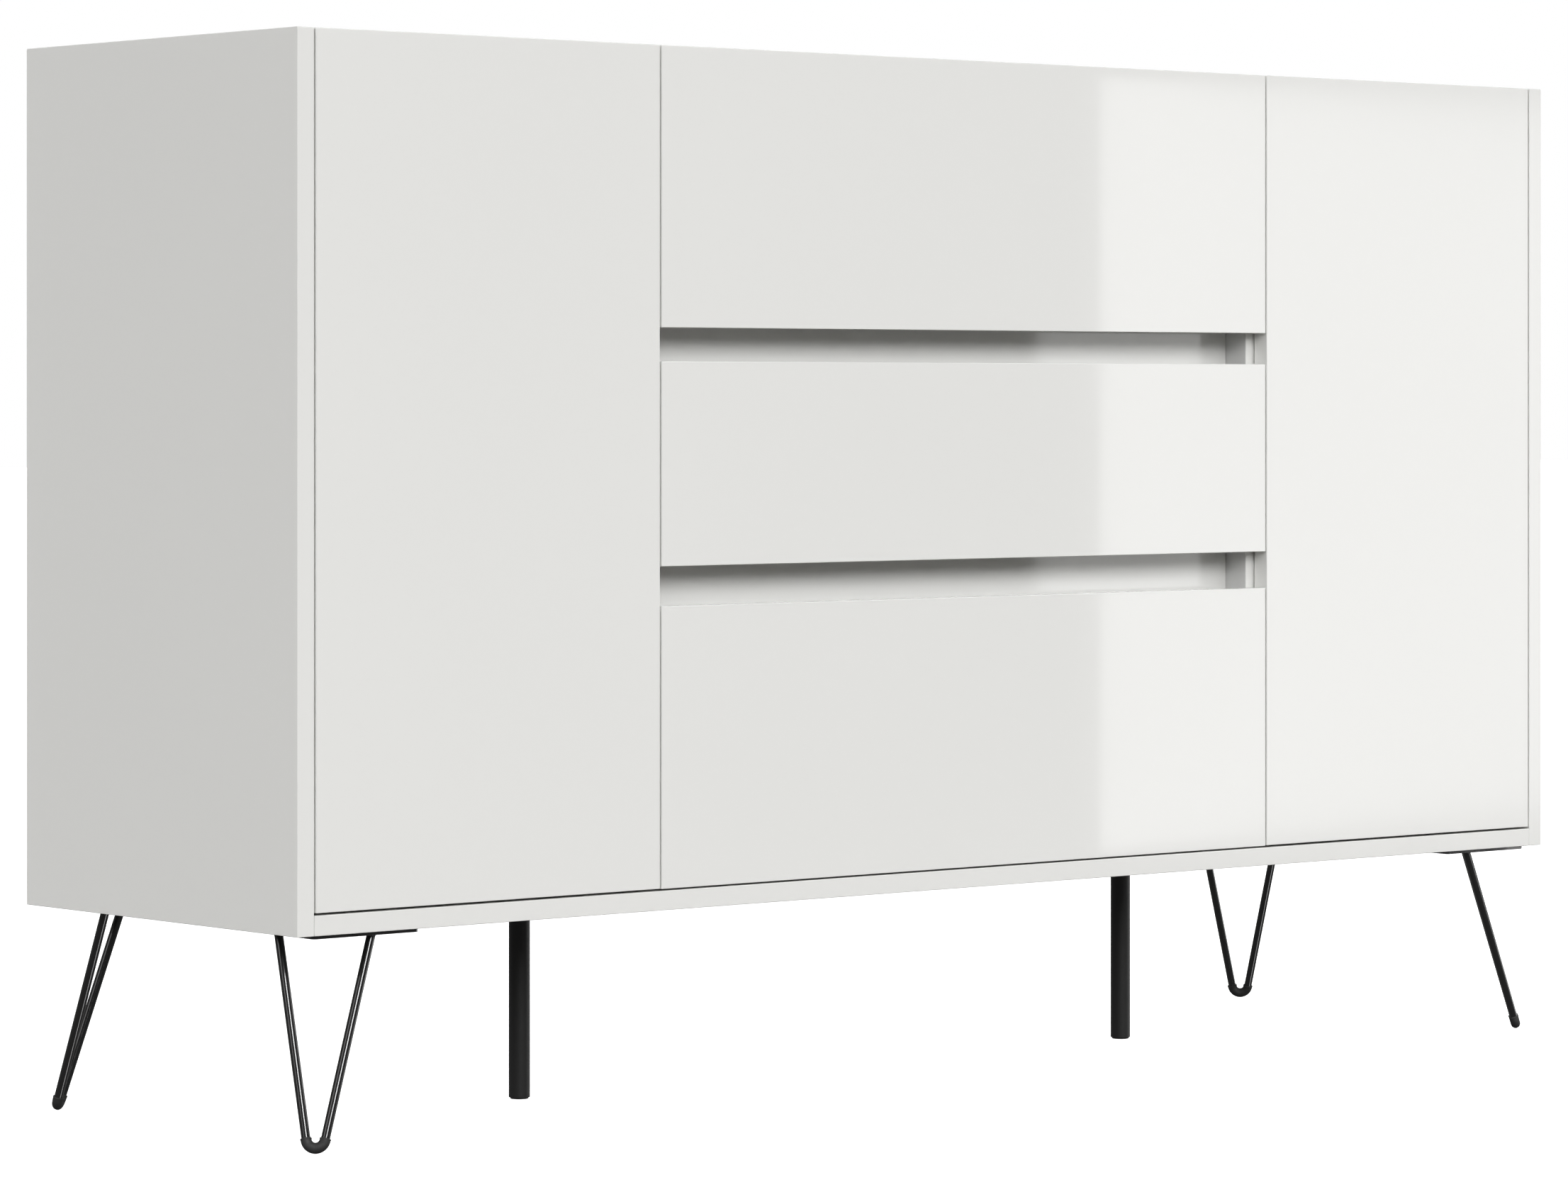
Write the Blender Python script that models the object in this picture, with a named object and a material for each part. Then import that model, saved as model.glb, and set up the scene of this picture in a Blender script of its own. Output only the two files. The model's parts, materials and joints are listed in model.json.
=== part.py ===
"""White high-gloss sideboard on black hairpin legs, with two doors, three drawers and grip rails.

Units are metres and +Z is up. X runs along the width, Y along the depth with the front facing -Y,
and the origin lies on the floor under the middle of the cabinet.
"""
import math

import bmesh
import bpy
from mathutils import Vector

# ---------------------------------------------------------------- overall sizes
WIDTH = 1.600
DEPTH = 0.430
BODY_HEIGHT = 0.793
LEG_HEIGHT = 0.1915

# ---------------------------------------------------------------- boards and gaps
BOARD = 0.018
FRONT_BOARD = 0.018
RAIL_BOARD = 0.018
BACK_BOARD = 0.004
BACK_INSET = 0.010
GROOVE_DEPTH = 0.008
TOUCH = 0.0003             # left between pieces that touch
REVEAL = 0.002             # open gap round a door
SEAM = 0.002               # open gap between a door and the drawers
DRAWER_REVEAL = 0.0016     # open gap under the lowest drawer front
STOP_GAP = 0.002           # from the back of a closed front to the carcass behind it

# ---------------------------------------------------------------- layout of the front
SEAM_FROM_SIDE = 0.408
MIDDLE_FRONT = 0.188
UPPER_GRIP_GAP = 0.031
LOWER_GRIP_GAP = 0.0365
GRIP_DEPTH = 0.030         # finger room behind the fronts, up to a rail
RAIL_OVERLAP = 0.014       # a rail reaches this far past its gap, above and below

# ---------------------------------------------------------------- shelves
SHELF_SETBACK = 0.020
SHELF_PLAY = 0.001
SHELF_BACK_ROOM = 0.003

# ---------------------------------------------------------------- drawers
DRAWER_BOARD = 0.016
DRAWER_STEEL = 0.0015
SIDE_FROM_DIVIDER = 0.012
FOOTROOM = 0.008
HEADROOM = 0.040
ROOM_BEHIND = 0.046
SHELF_FLANGE = 0.015       # carries the drawer bottom
RUNNER_FLANGE = 0.0095     # rolls on the cabinet runner
RUNNER_FLANGE_RISE = 0.022
RUNNER_LIP = 0.005
TOP_ROLL = 0.003
BACK_DROP = 0.015          # the drawer back stays this far below the top of the sides

RUNNER_STEEL = 0.0012
RUNNER_RISE = 0.006
RUNNER_HEIGHT = 0.024
RUNNER_WIDTH = 0.010
RUNNER_EDGE = 0.004

# ---------------------------------------------------------------- concealed hinges
HINGE_FROM_END = 0.100
CUP_RADIUS = 0.0172
CUP_DEPTH = 0.0117
CUP_WALL = 0.0012
CUP_FLOOR = 0.001
CUP_EDGE = 0.005           # wood left between the cup's bore and the door's edge
FLANGE_LAP = 0.0028        # how far the cup's flange lies on the door round the bore
FLANGE_THICK = 0.0008
ARM_STEEL = 0.0015
ARM_HALF_WIDTH = 0.008
ARM_FLANGE_HALF = 0.022
ARM_LENGTH = 0.052
ARM_FROM_DOOR = 0.004
LINK_THICK = 0.0025
LINK_HALF_WIDTH = 0.0055
LINK_CLEAR = 0.0007        # between the link and the arm's web
LINK_PAST_DOOR = 0.0028    # keeps the link clear of the door's thickness when it stands open
LINK_TIP = 0.005           # how deep the hook lies in the cup, measured from the cup's floor
HOOK = 0.0078
LINK_TAIL = 0.048

# ---------------------------------------------------------------- push latches
LATCH_WIDTH = 0.013
LATCH_LENGTH = 0.060
LATCH_FROM_DIVIDER = 0.024
LATCH_SETBACK = 0.004
PLUNGER_RADIUS = 0.004
PLUNGER_PLAY = 0.0004
PLUNGER_LENGTH = 0.040
BORE_SPARE = 0.004

# ---------------------------------------------------------------- hairpin legs
PLATE_SIZE = 0.1125
PLATE_THICK = 0.003
PLATE_FROM_SIDE = 0.006
PLATE_FROM_FRONT = 0.008
PLATE_HOLE_RADIUS = 0.0025
PLATE_HOLE_INSET = 0.012
ROD_RADIUS = 0.004
ROD_NEAR = 0.014
ROD_FAR = 0.073
TIP_INSET = 0.0058
BEND_RADIUS = 0.0085
ROD_BITE = 0.00135         # how far the rods' ends are melted into the plate
CAP_WALL = 0.0008
CAP_LAP = 0.002            # how far the rubber runs up the straight rods
ROD_SIDES = 12
BEND_STEPS = 10

# ---------------------------------------------------------------- middle feet
FOOT_RADIUS = 0.010
FOOT_FLANGE_RADIUS = 0.024
FOOT_FLANGE_THICK = 0.0025
FOOT_CHAMFER = 0.0012
FOOT_FORWARD = 0.0035      # the feet stand this far in front of the middle of the depth

ROUND_SIDES = 24
SMOOTH_ANGLE = math.radians(35)

# ---------------------------------------------------------------- places worked out from the sizes
HALF_WIDTH = WIDTH / 2
FRONT_Y = -DEPTH / 2
REAR_Y = DEPTH / 2
BASE_Z = LEG_HEIGHT
TOP_Z = BASE_Z + BODY_HEIGHT
INSIDE_HALF = HALF_WIDTH - BOARD
FLOOR_TOP_Z = BASE_Z + BOARD
CEILING_Z = TOP_Z - BOARD
FRONT_BACK_Y = FRONT_Y + FRONT_BOARD
CARCASS_Y = FRONT_BACK_Y + STOP_GAP
GROOVE_Y = REAR_Y - BACK_INSET - BACK_BOARD - TOUCH
SEAM_X = HALF_WIDTH - SEAM_FROM_SIDE
DIVIDER_INNER_X = SEAM_X - BOARD / 2
DIVIDER_OUTER_X = SEAM_X + BOARD / 2
DOOR_OUTER_X = INSIDE_HALF - REVEAL
DOOR_BOTTOM_Z = FLOOR_TOP_Z + REVEAL
FRONT_HALF = SEAM_X - SEAM / 2

LOWEST_FRONT_Z = FLOOR_TOP_Z + DRAWER_REVEAL
OUTER_FRONT = (TOP_Z - LOWEST_FRONT_Z - MIDDLE_FRONT - UPPER_GRIP_GAP - LOWER_GRIP_GAP) / 2
LOWER_GAP_Z = LOWEST_FRONT_Z + OUTER_FRONT
MIDDLE_FRONT_Z = LOWER_GAP_Z + LOWER_GRIP_GAP
UPPER_GAP_Z = MIDDLE_FRONT_Z + MIDDLE_FRONT
UPPER_FRONT_Z = UPPER_GAP_Z + UPPER_GRIP_GAP

RAIL_Y = FRONT_BACK_Y + GRIP_DEPTH
LOWER_RAIL = (LOWER_GAP_Z - RAIL_OVERLAP, MIDDLE_FRONT_Z + RAIL_OVERLAP)
UPPER_RAIL = (UPPER_GAP_Z - RAIL_OVERLAP, UPPER_FRONT_Z + RAIL_OVERLAP)

# each drawer's front from its lower to its upper edge, and the room for its box from floor to ceiling
DRAWERS = {
    "upper": ((UPPER_FRONT_Z, TOP_Z), (UPPER_RAIL[1], CEILING_Z)),
    "middle": ((MIDDLE_FRONT_Z, UPPER_GAP_Z), (LOWER_RAIL[1], UPPER_RAIL[0])),
    "lower": ((LOWEST_FRONT_Z, LOWER_GAP_Z), (FLOOR_TOP_Z, LOWER_RAIL[0])),
}
SIDES = {"left": -1, "right": 1}


# ---------------------------------------------------------------- materials
def material(name, colour, roughness, metallic=0.0):
    made = bpy.data.materials.new(name)
    made.use_nodes = True
    shader = made.node_tree.nodes["Principled BSDF"]
    shader.inputs["Base Color"].default_value = (*colour, 1.0)
    shader.inputs["Roughness"].default_value = roughness
    shader.inputs["Metallic"].default_value = metallic
    return made


def make_materials():
    return {
        "lacquer": material("gloss_white_lacquer", (0.86, 0.86, 0.842), 0.12),
        "melamine": material("white_melamine", (0.82, 0.82, 0.81), 0.45),
        "hardboard": material("white_hardboard", (0.78, 0.78, 0.77), 0.6),
        "drawer_steel": material("white_coated_steel", (0.75, 0.76, 0.76), 0.4, 0.2),
        "zinc": material("zinc_plated_steel", (0.62, 0.63, 0.64), 0.3, 1.0),
        "black_steel": material("black_lacquered_steel", (0.008, 0.008, 0.008), 0.18),
        "rubber": material("black_rubber", (0.022, 0.022, 0.022), 0.75),
        "black_plastic": material("black_plastic", (0.014, 0.014, 0.014), 0.5),
        "grey_plastic": material("grey_plastic", (0.45, 0.45, 0.46), 0.5),
    }


# ---------------------------------------------------------------- builders
def clear_scene():
    for thing in list(bpy.data.objects):
        bpy.data.objects.remove(thing, do_unlink=True)


def finish(name, shape, place, look, parent=None, smooth=False):
    """Turn a bmesh into a named object with its faces outward, at a place given in the world."""
    bmesh.ops.recalc_face_normals(shape, faces=shape.faces)
    mesh = bpy.data.meshes.new(name)
    shape.to_mesh(mesh)
    shape.free()
    if smooth:
        mesh.shade_smooth()
        mesh.set_sharp_from_angle(angle=SMOOTH_ANGLE)
    mesh.materials.append(look)
    made = bpy.data.objects.new(name, mesh)
    bpy.context.scene.collection.objects.link(made)
    made.location = Vector(place)
    if parent:
        made.parent = parent
        made.location -= parent.location
    return made


def pivot(name, place):
    """An empty that carries the pieces of one moving body."""
    made = bpy.data.objects.new(name, None)
    made.location = place
    bpy.context.scene.collection.objects.link(made)
    return made


def box(name, low, high, look, parent=None):
    low = Vector(low)
    high = Vector(high)
    shape = bmesh.new()
    bmesh.ops.create_cube(shape, size=1.0)
    bmesh.ops.scale(shape, vec=high - low, verts=shape.verts)
    return finish(name, shape, (low + high) / 2, look, parent)


def extrusion(name, outline, along, length, place, look, parent=None):
    """Carry a flat outline along +X, +Y or +Z; its two numbers are the other axes in their order."""
    spots = {"X": lambda a, b: (0, a, b), "Y": lambda a, b: (a, 0, b), "Z": lambda a, b: (a, b, 0)}
    direction = {"X": (length, 0, 0), "Y": (0, length, 0), "Z": (0, 0, length)}
    shape = bmesh.new()
    face = shape.faces.new([shape.verts.new(spots[along](a, b)) for a, b in outline])
    grown = bmesh.ops.extrude_face_region(shape, geom=[face])
    moved = [item for item in grown["geom"] if isinstance(item, bmesh.types.BMVert)]
    bmesh.ops.translate(shape, vec=direction[along], verts=moved)
    return finish(name, shape, place, look, parent)


def turned(name, profile, toward, place, look, sides=ROUND_SIDES, parent=None):
    """Turn a profile of (radius, height) about its axis; it starts and ends on the axis."""
    axis = Vector(toward)
    across = axis.orthogonal().normalized()
    over = axis.cross(across)
    shape = bmesh.new()
    rings = []
    for radius, height in profile:
        if radius == 0:
            rings.append([shape.verts.new(axis * height)])
            continue
        angles = [2 * math.pi * step / sides for step in range(sides)]
        spokes = [across * math.cos(turn) + over * math.sin(turn) for turn in angles]
        rings.append([shape.verts.new(spoke * radius + axis * height) for spoke in spokes])
    for first, second in zip(rings, rings[1:]):
        for step in range(sides):
            after = (step + 1) % sides
            if len(first) == 1:
                shape.faces.new((first[0], second[step], second[after]))
            elif len(second) == 1:
                shape.faces.new((first[step], first[after], second[0]))
            else:
                shape.faces.new((first[step], first[after], second[after], second[step]))
    return finish(name, shape, place, look, parent, smooth=True)


def swept_ring(shape, spot, tangent, normal, radius):
    """One round section of a bent rod, square to the rod."""
    side = tangent.cross(normal)
    ring = []
    for step in range(ROD_SIDES):
        turn = 2 * math.pi * step / ROD_SIDES
        ring.append(shape.verts.new(spot + (normal * math.cos(turn) + side * math.sin(turn)) * radius))
    return ring


def skin(shape, first, second):
    for step in range(len(first)):
        after = (step + 1) % len(first)
        shape.faces.new((first[step], first[after], second[after], second[step]))


def swept(name, path, normal, radius, look, hollow=None):
    """Carry a circle along a flat path of (spot, tangent); hollow is the radius of a bore through it."""
    shape = bmesh.new()
    outer = [swept_ring(shape, spot, tangent, normal, radius) for spot, tangent in path]
    for first, second in zip(outer, outer[1:]):
        skin(shape, first, second)
    if hollow:
        inner = [swept_ring(shape, spot, tangent, normal, hollow) for spot, tangent in path]
        for first, second in zip(inner, inner[1:]):
            skin(shape, first, second)
        skin(shape, outer[0], inner[0])
        skin(shape, outer[-1], inner[-1])
    else:
        shape.faces.new(outer[0])
        shape.faces.new(outer[-1])
    return finish(name, shape, (0, 0, 0), look, smooth=True)


def combine(target, tool, operation):
    """Join or cut a piece with a helper that isn't part of the object."""
    tool.hide_render = True
    tool.display_type = "WIRE"
    step = target.modifiers.new(operation.lower() + "_" + tool.name, "BOOLEAN")
    step.operation = operation
    step.solver = "EXACT"
    step.object = tool


# ---------------------------------------------------------------- carcass
def make_side_panels(look):
    """Full-height sides, grooved on the inside for the back."""
    for side, sign in SIDES.items():
        inner = sign * (-BOARD / 2)
        outer = sign * (BOARD / 2)
        groove = sign * (-BOARD / 2 + GROOVE_DEPTH)
        groove_end = GROOVE_Y + BACK_BOARD + 2 * TOUCH
        outline = [
            (outer, FRONT_Y), (outer, REAR_Y), (inner, REAR_Y), (inner, groove_end),
            (groove, groove_end), (groove, GROOVE_Y), (inner, GROOVE_Y), (inner, FRONT_Y),
        ]
        centre = sign * (HALF_WIDTH - BOARD / 2)
        extrusion("side_panel_" + side, outline, "Z", BODY_HEIGHT, (centre, 0, BASE_Z), look["lacquer"])


def make_top_and_bottom(look):
    """Boards between the sides; the bottom comes to the front, the top stays behind the fronts."""
    length = 2 * (INSIDE_HALF - TOUCH)
    groove_end = GROOVE_Y + BACK_BOARD + 2 * TOUCH
    for name, start_y, board_z, inward in (
        ("bottom_panel", FRONT_Y, BASE_Z, 1),
        ("top_panel", CARCASS_Y, CEILING_Z, -1),
    ):
        face = BOARD if inward > 0 else 0.0
        far = 0.0 if inward > 0 else BOARD
        groove = face - inward * GROOVE_DEPTH
        outline = [
            (start_y, far), (REAR_Y, far), (REAR_Y, face), (groove_end, face),
            (groove_end, groove), (GROOVE_Y, groove), (GROOVE_Y, face), (start_y, face),
        ]
        extrusion(name, outline, "X", length, (-length / 2, 0, board_z), look["lacquer"])


def make_inner_boards(look):
    """Back, the two dividers, the two shelves and the two grip rails."""
    reach = GROOVE_DEPTH - TOUCH
    box(
        "back_panel",
        (-INSIDE_HALF - reach, GROOVE_Y + TOUCH, FLOOR_TOP_Z - reach),
        (INSIDE_HALF + reach, GROOVE_Y + TOUCH + BACK_BOARD, CEILING_Z + reach),
        look["hardboard"],
    )
    shelf_z = (FLOOR_TOP_Z + CEILING_Z) / 2
    for side, sign in SIDES.items():
        near, far = sorted((sign * DIVIDER_INNER_X, sign * DIVIDER_OUTER_X))
        box(
            "divider_" + side,
            (near, CARCASS_Y, FLOOR_TOP_Z + TOUCH),
            (far, GROOVE_Y - TOUCH, CEILING_Z - TOUCH),
            look["melamine"],
        )
        near, far = sorted((sign * (DIVIDER_OUTER_X + SHELF_PLAY), sign * (INSIDE_HALF - SHELF_PLAY)))
        box(
            "shelf_" + side,
            (near, CARCASS_Y + SHELF_SETBACK, shelf_z - BOARD / 2),
            (far, GROOVE_Y - SHELF_BACK_ROOM, shelf_z + BOARD / 2),
            look["melamine"],
        )
    rail_half = DIVIDER_INNER_X - TOUCH
    for level, (low, high) in {"upper": UPPER_RAIL, "lower": LOWER_RAIL}.items():
        box(
            "grip_rail_" + level,
            (-rail_half, RAIL_Y, low),
            (rail_half, RAIL_Y + RAIL_BOARD, high),
            look["lacquer"],
        )


# ---------------------------------------------------------------- doors and hinges
def make_doors(look):
    """Inset doors that turn on their outer front edge, each on two concealed hinges."""
    bore_radius = CUP_RADIUS + TOUCH
    bore_depth = CUP_DEPTH + TOUCH
    heights = {"upper": TOP_Z - HINGE_FROM_END, "lower": DOOR_BOTTOM_Z + HINGE_FROM_END}
    for side, sign in SIDES.items():
        axis_x = sign * DOOR_OUTER_X
        turning = pivot("door_pivot_" + side, (axis_x, FRONT_Y, BASE_Z))
        near, far = sorted((axis_x, sign * (SEAM_X + SEAM / 2)))
        door = box(
            "door_" + side,
            (near, FRONT_Y, DOOR_BOTTOM_Z),
            (far, FRONT_BACK_Y, TOP_Z),
            look["lacquer"],
            turning,
        )
        cup_x = axis_x - sign * (CUP_EDGE + bore_radius)
        for level, height in heights.items():
            bore = turned(
                "cup_bore_" + side + "_" + level,
                [(0, -bore_depth), (bore_radius, -bore_depth), (bore_radius, BORE_SPARE), (0, BORE_SPARE)],
                (0, 1, 0),
                (cup_x, FRONT_BACK_Y, height),
                look["lacquer"],
            )
            combine(door, bore, "DIFFERENCE")
            make_hinge(side + "_" + level, sign, (axis_x, cup_x, height), look, turning)


def make_hinge(name, sign, places, look, turning):
    """A cup in the door, a hat-shaped arm on the side panel and the hooked link between them."""
    axis_x, cup_x, height = places
    inner_radius = CUP_RADIUS - CUP_WALL
    flange_radius = CUP_RADIUS + FLANGE_LAP
    cup = [
        (0, -CUP_DEPTH), (CUP_RADIUS, -CUP_DEPTH), (CUP_RADIUS, TOUCH), (flange_radius, TOUCH),
        (flange_radius, TOUCH + FLANGE_THICK), (inner_radius, TOUCH + FLANGE_THICK),
        (inner_radius, CUP_FLOOR - CUP_DEPTH), (0, CUP_FLOOR - CUP_DEPTH),
    ]
    turned("hinge_cup_" + name, cup, (0, 1, 0), (cup_x, FRONT_BACK_Y, height), look["zinc"], parent=turning)

    link_low = FRONT_BOARD + LINK_PAST_DOOR
    link_high = link_low + LINK_THICK
    foot = TOUCH - REVEAL
    web = link_high + LINK_CLEAR
    half = ARM_HALF_WIDTH
    steel = ARM_STEEL
    hat = [
        (foot, -ARM_FLANGE_HALF), (foot + steel, -ARM_FLANGE_HALF), (foot + steel, -half),
        (web + steel, -half), (web + steel, half), (foot + steel, half),
        (foot + steel, ARM_FLANGE_HALF), (foot, ARM_FLANGE_HALF), (foot, half - steel),
        (web, half - steel), (web, steel - half), (foot, steel - half),
    ]
    hat = [(-sign * rise, across) for rise, across in hat]
    arm_y = FRONT_BACK_Y + ARM_FROM_DOOR
    extrusion("hinge_arm_" + name, hat, "Y", ARM_LENGTH, (axis_x, arm_y, height), look["zinc"])

    tip = FRONT_BOARD - CUP_DEPTH + CUP_FLOOR + LINK_TIP - LINK_THICK / 2
    hook = [
        (link_low - HOOK, tip), (link_high, tip), (link_high, tip + LINK_TAIL + LINK_THICK),
        (link_low, tip + LINK_TAIL + LINK_THICK), (link_low, tip + LINK_THICK),
        (link_low - HOOK, tip + LINK_THICK),
    ]
    hook = [(-sign * rise, back) for rise, back in hook]
    place = (axis_x, FRONT_Y, height - LINK_HALF_WIDTH)
    extrusion("hinge_link_" + name, hook, "Z", 2 * LINK_HALF_WIDTH, place, look["zinc"])


def make_push_latches(look):
    """A sprung plunger in a housing under the top, behind the free edge of each door."""
    bore_radius = PLUNGER_RADIUS + PLUNGER_PLAY
    start_y = CARCASS_Y + LATCH_SETBACK
    tip_y = FRONT_BACK_Y + TOUCH
    centre_z = CEILING_Z - TOUCH - LATCH_WIDTH / 2
    for side, sign in SIDES.items():
        centre_x = sign * (DIVIDER_OUTER_X + LATCH_FROM_DIVIDER)
        housing = box(
            "push_latch_housing_" + side,
            (centre_x - LATCH_WIDTH / 2, start_y, centre_z - LATCH_WIDTH / 2),
            (centre_x + LATCH_WIDTH / 2, start_y + LATCH_LENGTH, centre_z + LATCH_WIDTH / 2),
            look["grey_plastic"],
        )
        bore_end = PLUNGER_LENGTH + BORE_SPARE
        bore = turned(
            "plunger_bore_" + side,
            [(0, 0), (bore_radius, 0), (bore_radius, bore_end), (0, bore_end)],
            (0, 1, 0),
            (centre_x, tip_y, centre_z),
            look["grey_plastic"],
        )
        combine(housing, bore, "DIFFERENCE")
        turned(
            "push_latch_plunger_" + side,
            [(0, 0), (PLUNGER_RADIUS, 0), (PLUNGER_RADIUS, PLUNGER_LENGTH), (0, PLUNGER_LENGTH)],
            (0, 1, 0),
            (centre_x, tip_y, centre_z),
            look["grey_plastic"],
        )


# ---------------------------------------------------------------- drawers
def make_drawers(look):
    """A lacquered front on single-wall steel sides, with a board back and bottom, on fixed runners."""
    start_y = FRONT_BACK_Y + TOUCH
    end_y = GROOVE_Y - ROOM_BEHIND
    length = end_y - start_y
    web = DIVIDER_INNER_X - SIDE_FROM_DIVIDER
    inside = web - DRAWER_STEEL
    for level, (front, room) in DRAWERS.items():
        carrier = pivot("drawer_slide_" + level, (0, FRONT_Y, front[0]))
        box(
            "drawer_front_" + level,
            (-FRONT_HALF, FRONT_Y, front[0]),
            (FRONT_HALF, FRONT_BACK_Y, front[1]),
            look["lacquer"],
            carrier,
        )
        low = room[0] + FOOTROOM
        rise = room[1] - HEADROOM - low
        for side, sign in SIDES.items():
            make_drawer_side(level + "_" + side, sign, (web, low, rise), (start_y, length), look, carrier)
            make_runner(level + "_" + side, sign, low, (CARCASS_Y + TOUCH, length), look)
        bottom_z = low + DRAWER_STEEL + TOUCH
        board_half = inside - TOUCH
        box(
            "drawer_bottom_" + level,
            (-board_half, start_y, bottom_z),
            (board_half, end_y, bottom_z + DRAWER_BOARD),
            look["melamine"],
            carrier,
        )
        box(
            "drawer_back_" + level,
            (-board_half, end_y - DRAWER_BOARD, bottom_z + DRAWER_BOARD + TOUCH),
            (board_half, end_y, low + rise - BACK_DROP),
            look["melamine"],
            carrier,
        )


def make_drawer_side(name, sign, section, run, look, carrier):
    """A steel side: flange inward under the bottom, rolling flange outward, rolled top edge."""
    web, low, rise = section
    start_y, length = run
    steel = DRAWER_STEEL
    flange = RUNNER_FLANGE_RISE
    outline = [
        (SHELF_FLANGE, 0), (SHELF_FLANGE, steel), (steel, steel), (steel, rise),
        (-TOP_ROLL, rise), (-TOP_ROLL, rise - steel), (0, rise - steel), (0, flange + steel),
        (-RUNNER_FLANGE, flange + steel), (-RUNNER_FLANGE, flange - RUNNER_LIP),
        (steel - RUNNER_FLANGE, flange - RUNNER_LIP), (steel - RUNNER_FLANGE, flange),
        (0, flange), (0, 0),
    ]
    outline = [(-sign * across, up) for across, up in outline]
    extrusion(
        "drawer_side_" + name, outline, "Y", length, (sign * web, start_y, low), look["drawer_steel"], carrier
    )


def make_runner(name, sign, low, run, look):
    """The fixed runner on a divider: a channel that the drawer's rear roller runs in."""
    start_y, length = run
    steel = RUNNER_STEEL
    outline = [
        (TOUCH, 0), (TOUCH + RUNNER_WIDTH, 0), (TOUCH + RUNNER_WIDTH, RUNNER_EDGE),
        (TOUCH + RUNNER_WIDTH - steel, RUNNER_EDGE), (TOUCH + RUNNER_WIDTH - steel, steel),
        (TOUCH + steel, steel), (TOUCH + steel, RUNNER_HEIGHT), (TOUCH, RUNNER_HEIGHT),
    ]
    outline = [(-sign * across, up) for across, up in outline]
    place = (sign * DIVIDER_INNER_X, start_y, low + RUNNER_RISE)
    extrusion("cabinet_runner_" + name, outline, "Y", length, place, look["drawer_steel"])


# ---------------------------------------------------------------- legs and feet
def leg_frame(sign_x, sign_y):
    """The corner of a leg's plate nearest the cabinet's corner, and the two directions inward."""
    corner = Vector((
        sign_x * (INSIDE_HALF - PLATE_FROM_SIDE),
        sign_y * (DEPTH / 2 - PLATE_FROM_FRONT),
        BASE_Z - TOUCH,
    ))
    return corner, Vector((-sign_x, 0, 0)), Vector((0, -sign_y, 0))


def leg_path(corner, along, inward):
    """The bent rod's centre line as (spot, tangent), and the normal of the plane it lies in.

    Two straight rods lean towards the cabinet's corner and touch a round bend at the floor.
    """
    cap_radius = ROD_RADIUS + TOUCH + CAP_WALL
    weld = Vector((0, 0, ROD_BITE - PLATE_THICK))
    first = corner + along * ROD_FAR + inward * ROD_NEAR + weld
    last = corner + along * ROD_NEAR + inward * ROD_FAR + weld
    middle = (first + last) / 2
    tip = corner + (along + inward) * TIP_INSET
    tip.z = cap_radius
    lean = (tip - middle).normalized()
    spread = (first - last).normalized()
    centre = tip - lean * BEND_RADIUS
    reach = centre - middle
    half = (first - last).length / 2
    distance = math.hypot(reach.length, half)
    swing = math.atan2(half, reach.length) - math.asin(BEND_RADIUS / distance)
    down = lean * math.cos(swing) - spread * math.sin(swing)
    up = -lean * math.cos(swing) - spread * math.sin(swing)
    path = [(first, down)]
    for step in range(BEND_STEPS + 1):
        turn = swing + (math.pi - 2 * swing) * step / BEND_STEPS
        spot = centre + (spread * math.cos(turn) + lean * math.sin(turn)) * BEND_RADIUS
        tangent = lean * math.cos(turn) - spread * math.sin(turn)
        path.append((spot, tangent))
    path.append((last, up))
    return path, spread.cross(lean)


def make_legs(look):
    corners = {
        "front_left": (-1, -1),
        "front_right": (1, -1),
        "rear_left": (-1, 1),
        "rear_right": (1, 1),
    }
    for name, (sign_x, sign_y) in corners.items():
        corner, along, inward = leg_frame(sign_x, sign_y)
        far = corner + (along + inward) * PLATE_SIZE
        far.z -= PLATE_THICK
        low = [min(pair) for pair in zip(corner, far)]
        high = [max(pair) for pair in zip(corner, far)]
        leg = box("hairpin_leg_" + name, low, high, look["black_steel"])
        path, normal = leg_path(corner, along, inward)
        rod = swept("rod_" + name, path, normal, ROD_RADIUS, look["black_steel"])
        combine(leg, rod, "UNION")
        reach = PLATE_SIZE - PLATE_HOLE_INSET
        for number, (a, b) in enumerate(
            (first, second) for first in (PLATE_HOLE_INSET, reach) for second in (PLATE_HOLE_INSET, reach)
        ):
            drill = turned(
                "drill_" + name + "_" + str(number),
                [(0, -2 * PLATE_THICK), (PLATE_HOLE_RADIUS, -2 * PLATE_THICK),
                 (PLATE_HOLE_RADIUS, PLATE_THICK), (0, PLATE_THICK)],
                (0, 0, 1),
                corner + along * a + inward * b,
                look["black_steel"],
                sides=ROD_SIDES,
            )
            combine(leg, drill, "DIFFERENCE")
        bend = path[1:-1]
        bend = [(bend[0][0] - path[0][1] * CAP_LAP, path[0][1])] + bend
        bend = bend + [(bend[-1][0] + path[-1][1] * CAP_LAP, path[-1][1])]
        bore = ROD_RADIUS + TOUCH
        swept("foot_cap_" + name, bend, normal, bore + CAP_WALL, look["rubber"], hollow=bore)


def make_middle_feet(look):
    """Turned feet under the dividers, screwed on by a round flange."""
    profile = [
        (0, 0), (FOOT_RADIUS - FOOT_CHAMFER, 0), (FOOT_RADIUS, FOOT_CHAMFER),
        (FOOT_RADIUS, LEG_HEIGHT - TOUCH - FOOT_FLANGE_THICK),
        (FOOT_FLANGE_RADIUS, LEG_HEIGHT - TOUCH - FOOT_FLANGE_THICK),
        (FOOT_FLANGE_RADIUS, LEG_HEIGHT - TOUCH), (0, LEG_HEIGHT - TOUCH),
    ]
    for side, sign in SIDES.items():
        place = (sign * SEAM_X, -FOOT_FORWARD, 0)
        turned("middle_foot_" + side, profile, (0, 0, 1), place, look["black_plastic"])


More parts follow.
